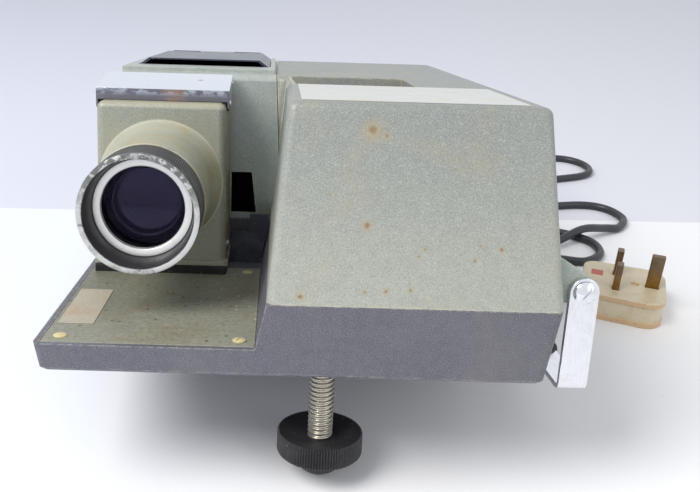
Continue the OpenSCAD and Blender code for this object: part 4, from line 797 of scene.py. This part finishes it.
barrel_black = enamel("barrel_black", (16, 16, 18), (34, 34, 38), 0.5, 0.2)
cream_screw = plain_moulding("screw_cream", (216, 206, 162), (196, 180, 132), 0.4, 0.3)
glass_violet = coated_glass("coated_glass", (176, 178, 188), (170, 160, 206))
glass_clear = coated_glass("clear_glass", (242, 246, 250), (255, 255, 255))
ceramic = plain_moulding("cream_ceramic", (222, 214, 196), (198, 188, 164), 0.4)
cap_brass = plain_moulding("lamp_cap_brass", (176, 150, 92), (140, 116, 70), 0.35, 0.1, 0.9)
mirror_metal = bare_metal("mirror_metal", (236, 238, 240), (180, 176, 168), 0.15, 0.08)
inner_metal = bare_metal("inner_metal", (150, 150, 148), (110, 98, 80), 0.35, 0.4)
fan_finish = plain_moulding("fan_green", (96, 112, 96), (70, 84, 74), 0.4, 0.05)
core_sheets = striped("core_sheets", (92, 90, 92), (44, 42, 44), "X", 0.9)
winding = striped("winding", (164, 92, 44), (92, 44, 20), "Z", 0.8, 0.35, 0.7)
switch_black = enamel("switch_black", (26, 26, 28), (70, 70, 72), 0.35, 0.4)
rocker_red = plain_moulding("rocker_red", (178, 36, 30), (140, 26, 24), 0.32, 0.2)
fuse_red = plain_moulding("fuse_red", (198, 96, 64), (160, 60, 44), 0.35, 0.25, table=True)
lead_black = plain_moulding("lead_rubber", (34, 35, 40), (50, 51, 57), 0.38, 0.05, table=True,
                            grain_mm=0.08)
focus_black = ring_black()
spun_silver = spun_ring()
plug_finish = plug_cream()
brass_finish = pin_brass()


def dress(piece, material):
    """Gives a piece, or the CAD solid of that name, one finish."""
    piece = cad_nodes[piece] if isinstance(piece, str) else piece
    if not piece.material_slots:
        piece.data.materials.append(None)
    for slot in piece.material_slots:
        slot.material = material
    return piece


# ---------------------------------------------------------------- covers, plates and fittings
for node, finish, bevel in (
        ("tray", tray_finish, 0.5), ("hood", hood_paint, 0.0),
        ("lamp_house", lamp_house_paint, 0.5),
        ("lens_column", column_finish, 0.6), ("shelf_plate", shelf_finish, 0.25),
        ("hood_panel", panel_metal, 0.12), ("rating_plate", rating_metal, 0.1),
        ("vent_lid", lid_enamel, 0.35), ("gate_flap", flap_finish, 0.3),
        ("changer_bracket", navy_enamel, 0.3), ("column_plinth", matt_black, 0.3),
        ("handle_lugs", lamp_house_paint, 0.5), ("handle_strap", bright_chrome, 0.35),
        ("handle_grip", black_moulding, 0.6), ("rear_feet", rubber, 0.3),
        ("vent_lid_pin", screw_nickel, 0.2), ("column_screws", screw_nickel, 0.15),
        ("gate_flap_pins", screw_nickel, 0.2), ("gate_flap_rivets", screw_nickel, 0.2),
        ("foot_bush", screw_nickel, 0.3), ("lens_barrel", barrel_black, 0.0),
        ("lens_cell_tube", barrel_black, 0.0), ("plug_body", plug_finish, 0.5),
        ("plug_pins", brass_finish, 0.5), ("switch_housing", switch_black, 0.3),
        ("switch_rocker", rocker_red, 0.3)):
    dress(soft_copy(node, bevel), finish)

for node, finish in (
        ("gate_plate", matt_black), ("slide_channel_frame", matt_black),
        ("pressure_posts", screw_nickel), ("pressure_plate", inner_metal),
        ("pressure_springs", screw_nickel), ("lamp_holder", ceramic), ("lamp_cap", cap_brass),
        ("lamp_glass", glass_clear), ("lamp_mirror", mirror_metal),
        ("condenser_housing", matt_black), ("front_condenser", glass_clear),
        ("rear_condenser", glass_clear), ("heat_glass", glass_clear), ("fan_shroud", inner_metal),
        ("fan_shaft", screw_nickel), ("fan_blades", fan_finish), ("fan_motor", inner_metal),
        ("transformer_core", core_sheets), ("transformer_coil", winding),
        ("terminal_block", ceramic)):
    dress(node, finish)

# ---------------------------------------------------------------- projection lens
knurl_profile = np.array([
    [26.1, 48.8], [23.6, 48.8], [23.6, 47.5], [23.75, 47.3], [25.5, 33.75], [25.7, 33.3],
    [26.0, 33.2], [27.7, 33.2], [28.1, 33.35], [28.2, 33.8], [28.2, 37.4], [27.9, 37.7],
    [27.9, 38.1], [28.3, 38.5], [28.3, 58.7], [27.9, 59.3], [27.4, 59.7], [26.1, 59.7]])
KNURL_TEETH, KNURL_DEPTH, COLUMNS_PER_TOOTH = 170, 0.42, 6
focus_ring = turned("focus_ring_knurled", knurl_profile, LENS_AXIS, "y", "lens_barrel",
                    columns=KNURL_TEETH * COLUMNS_PER_TOOTH, teeth=KNURL_TEETH,
                    tooth_depth=[0] * 13 + [KNURL_DEPTH] * 2 + [0] * 3, closed=True, sharp=28)
dress(focus_ring, focus_black)
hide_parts("focus_ring")
silver_ring = turned("silver_ring_spun", [
    [19.85, 50.4], [19.85, 47.95], [20.0, 47.7], [20.3, 47.5], [22.9, 47.32], [23.3, 47.35],
    [23.48, 47.55], [23.48, 49.1], [22, 49.8]], LENS_AXIS, "y", "lens_cell",
    columns=144, closed=True)
dress(silver_ring, spun_silver)
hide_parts("silver_ring")


GLASS_R = 21.45


def lens_profile(front, thick, front_bulge, back_bulge, radius=GLASS_R):
    """A lens: both faces are parabolas, h = bulge * (1 - (r / radius)^2), with a ground edge."""
    share = np.linspace(0, 1, 20)
    face = np.stack([radius * share, front - front_bulge * (1 - share ** 2)], 1)
    rear = np.stack([radius * share, front + thick + back_bulge * (1 - share ** 2)], 1)
    return np.vstack([face, rear[::-1]])


for node, profile in (("front_lens", lens_profile(57.2, 5, 3.2, 0)),
                      ("middle_lens", lens_profile(78.2, 3, -1.2, -1.2)),
                      ("rear_lens", lens_profile(105.5, 5, 0.6, 2.4))):
    glass = turned(node + "_ground", profile, LENS_AXIS, "y",
                   cad_nodes[node]["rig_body"], columns=96, sharp=50)
    dress(glass, glass_violet)
    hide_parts(node)

# Black steps inside the lens between its glasses, narrowing towards the back
BAFFLE_Y, BAFFLE_R, BAFFLE_OUT_R, BAFFLE_STEPS, STEP_LEN, STEP_IN = 62.6, 20.6, 21.4, 8, 1.55, 0.55
baffle_r = np.repeat(BAFFLE_R - np.arange(BAFFLE_STEPS) * STEP_IN, 2)
baffle_y = BAFFLE_Y + np.repeat(np.arange(BAFFLE_STEPS + 1) * STEP_LEN, 2)[1:-1]
baffle = turned("lens_baffle", np.vstack([
    np.stack([baffle_r, baffle_y], 1), [[BAFFLE_OUT_R, baffle_y[-1]], [BAFFLE_OUT_R, BAFFLE_Y]]]),
    LENS_AXIS, "y", "lens_cell", columns=96, closed=True)
dress(baffle, barrel_black)

# ---------------------------------------------------------------- front foot
FOOT = (FOOT_X, FOOT_Y, 0)


def foot_thread():
    """A rolled thread: on the rod's grid of height and angle a, the radius is the mean of crest
    and root plus half their difference times sin(2 pi (height / pitch) - a)^0.6, with its sign."""
    pitch, crest, root = 2.3, 6.0, 5.15
    z = np.arange(-46.4, 22.01, pitch / 12)[:, None]
    angle = (np.arange(64) * 2 * pi / 64)[None]
    wave = np.sin(2 * pi * z / pitch - angle)
    radius = (crest + root) / 2 + (crest - root) / 2 * np.sign(wave) * np.abs(wave) ** 0.7
    points = np.stack([radius * np.cos(angle), radius * np.sin(angle),
                       np.broadcast_to(z, radius.shape)], -1)
    points = np.concatenate([points[:1] * [0, 0, 1], points, points[-1:] * [0, 0, 1]])
    points = at(points + np.array(FOOT))
    mesh = make_mesh("foot_rod_thread", points, grid_faces(len(points), 64), 60)
    return add_piece("foot_rod_thread", mesh, "foot_screw")


foot_rod = dress(foot_thread(), thread_zinc)
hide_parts("foot_rod")
knob_profile = [[0, -52.4], [13.6, -52.4], [14.4, -52.2], [18.2, -50.6], [20.0, -50.0],
                [20.4, -49.2], [20.4, -40.3], [20.0, -39.6], [19.4, -39.5], [18.7, -39.6],
                [17.0, -40.3], [13.0, -41.4], [8.6, -42.1], [0, -42.1]]
KNOB_RIBS = 96
foot_knob = turned("foot_knob_ribbed", knob_profile, FOOT, "z", "foot_screw",
                   columns=KNOB_RIBS * COLUMNS_PER_TOOTH, teeth=KNOB_RIBS,
                   tooth_depth=[0] * 4 + [0.3, 0.8, 0.8, 0.5] + [0] * 6, sharp=40)
dress(foot_knob, black_moulding)
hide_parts("foot_knob")
dome = np.linspace(0, 1, 15)
TIP_R, TIP_TOP_Z = 14.0, -52.8
tip_angle = np.arccos((FOOT_CENTRE_Z - TIP_TOP_Z) / TIP_R) * dome
foot_tip = turned("foot_tip_dome", np.vstack([
    np.stack([TIP_R * np.sin(tip_angle), FOOT_CENTRE_Z - TIP_R * np.cos(tip_angle)], 1),
    [[12.6, -52.85], [3, -52.85], [3, -49], [0, -49]]]), FOOT, "z", "foot_tip", columns=72)
dress(foot_tip, rubber)
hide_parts("foot_tip")

# ---------------------------------------------------------------- screws and grommet
PIVOT_X, PIVOT_Z, HANDLE_FACES = 124.1, 39.1, (9.6, 190.2)
handle_screws = slotted_heads(
    "handle_screws_domed", [(PIVOT_X, y, PIVOT_Z) for y in HANDLE_FACES], ["-y", "y"], [-35, 20],
    5, 2.1, 0.5, 0.9, 1.5, "handle")
dress(handle_screws, bright_chrome)
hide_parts("handle_screws")
SHELF_Z, SHELF_SCREWS = 12.4, ((-103.5, 10), (-24.7, 10), (-24.7, 110))
plate_screws = slotted_heads(
    "shelf_plate_screw_heads", [(x, y, SHELF_Z) for x, y in SHELF_SCREWS],
    ["z"] * 3, [50, -30, 15], 3, 0.7, 0.35, 0.6, 0.55, "projector")
dress(plate_screws, cream_screw)
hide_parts("shelf_plate_screws")

grommet_profile = [[0, 314.2], [7, 314.2], [7, 320.1], [9.6, 320.1], [10.1, 320.6], [10.1, 322.6],
                   [9.6, 323.1], [7.4, 323.3]]
rib = np.arange(7)
grommet_profile += np.stack([7.0 - np.repeat(rib, 4) * 0.43 - np.tile([0, 0, 0.9, 0.9], 7),
                             324.2 + np.repeat(rib, 4) * 3.7 + np.tile([0, 2.4, 2.6, 3.5], 7)],
                            1).tolist()
grommet_profile += [[4.0, 350.6], [3.9, 352], [0, 352]]
grommet = turned("lead_grommet_ribbed", grommet_profile, (85, 0, 17), "y", "projector", columns=64)
dress(grommet, black_moulding)
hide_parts("lead_grommet")

# ---------------------------------------------------------------- plug fittings and the lead
PLUG = np.array([208, 27.5, 0])


def on_plug(points):
    """Millimetres on the plug, u along its length and v across it, in metres of the frame."""
    c, s = np.cos(PLUG_TURN), np.sin(PLUG_TURN)
    points = np.asarray(points, float)
    turned_points = points @ np.array([[c, s, 0], [-s, c, 0], [0, 0, 1]])
    return (PLUG + turned_points) / 1000


def pillow(name, middle, half, height, body):
    """A small moulded block: on a grid of u and v from -1 to 1, the height is
    (1 - u^8)^0.25 (1 - v^8)^0.25, so that it is flat on top and round at its edges."""
    u, v = np.meshgrid(np.sin(np.linspace(-pi / 2, pi / 2, 21)),
                       np.sin(np.linspace(-pi / 2, pi / 2, 21)))
    rise = height * (np.clip(1 - u ** 8, 0, 1) * np.clip(1 - v ** 8, 0, 1)) ** 0.25
    top = np.stack([middle[0] + half[0] * u, middle[1] + half[1] * v, middle[2] + rise], -1)
    base = top * [1, 1, 0] + [0, 0, middle[2] - 0.4]
    rows = grid_faces(21, 21, False, False)
    ring = np.concatenate([np.arange(21), np.arange(41, 441, 21), np.arange(439, 419, -1),
                           np.arange(399, 0, -21)])
    walls = np.stack([ring, np.roll(ring, -1), np.roll(ring, -1) + 441, ring + 441], 1)
    points = on_plug(np.concatenate([top.reshape(-1, 3), base.reshape(-1, 3)]))
    mesh = make_mesh(name, points, np.concatenate([rows, rows + 441, walls]), 45)
    return add_piece(name, mesh, body)


fuse = dress(pillow("plug_fuse", (-12, 7.5, 17.7), (4.2, 4.6), 0.35, "projector"), fuse_red)
dress(mains_lead, lead_black)

# ---------------------------------------------------------------- table, light
def table_white():
    """A white table. Its tone turns to the paper's beyond a line behind the projector, and it has
    a few dark crumbs."""
    material, r, shader = new_finish("table_white", Roughness=0.6, Specular_IOR_Level=0.3)
    place = r.table_mm()
    x, y = r.part(place, "X"), r.part(place, "Y")
    line = r.sum("SUBTRACT", y, r.sum("MULTIPLY", x, 0.0194))
    beyond = r.band(line, 161.0, 163.0)
    # Painted shade: the table is painted darker and bluer towards its left, and the paper beyond
    # the line is painted darker towards its left.
    left = r.band(x, 60.0, -330.0)
    near = r.mix(left, tone(248, 248, 250), tone(232, 238, 249))
    far = r.mix(r.band(x, -350.0, 500.0), tone(219, 222, 235), tone(230, 230, 238))
    colour = r.mix(beyond, near, far)
    crumbs = r.use(SPECKS, Place=place, Scale=0.11, Share=0.008)["Speck"]
    crumbs = r.sum("MULTIPLY", crumbs, r.sum("SUBTRACT", 1.0, beyond))
    colour = r.over(colour, tone(150, 140, 135), crumbs, 0.3)
    feed(r, shader, Base_Color=colour)
    return material


def table_mesh(half=3.0):
    """One flat square of the table, two metres and more beyond the projector."""
    u, v = np.meshgrid(np.linspace(-half, half, 9), np.linspace(-half, half + 2, 11))
    points = np.stack([u, v, np.zeros_like(u)], -1)
    return make_mesh("table", points, grid_faces(11, 9, False, False), outward=False)


table = bpy.data.objects.new("table", table_mesh())
bpy.context.scene.collection.objects.link(table)
table.data.materials.append(table_white())

world = bpy.data.worlds.new("studio")
bpy.context.scene.world = world
world.use_nodes = True
surroundings = Recipe(world.node_tree)
background = world.node_tree.nodes["Background"]
seen = surroundings.put("LightPath", {}, "Is Camera Ray")
for way in ("Is Glossy Ray", "Is Transmission Ray"):
    seen = surroundings.sum("MAXIMUM", seen, surroundings.put("LightPath", {}, way))
surroundings.tree.links.new(
    surroundings.put("Mix", {0: seen, 2: 0.62, 3: 1.0}, 0, data_type="FLOAT"),
    background.inputs["Strength"])
background.inputs["Color"].default_value = (0.93, 0.96, 1.0, 1)

for name, place, aim, size, watts in (
        ("window", (-0.9, -0.6, 1.3), (0.0, 0.0, 0.05), 0.9, 22.0),
        ("fill", (1.2, -1.0, 0.9), (0.0, 0.0, 0.05), 1.2, 4.0)):
    lamp = bpy.data.lights.new(name, "AREA")
    lamp.shape = "DISK"
    lamp.size = size
    lamp.energy = watts
    lamp.color = (1.0, 0.985, 0.96)
    holder = bpy.data.objects.new(name, lamp)
    bpy.context.scene.collection.objects.link(holder)
    way = np.array(aim) - np.array(place)
    back = -way / np.linalg.norm(way)
    side = np.cross([0, 0, 1], back)
    side /= np.linalg.norm(side)
    look = Matrix(np.column_stack([side, np.cross(back, side), back]).tolist())
    holder.matrix_world = Matrix.Translation(place) @ look.to_4x4()

bpy.context.scene.view_settings.view_transform = "Standard"
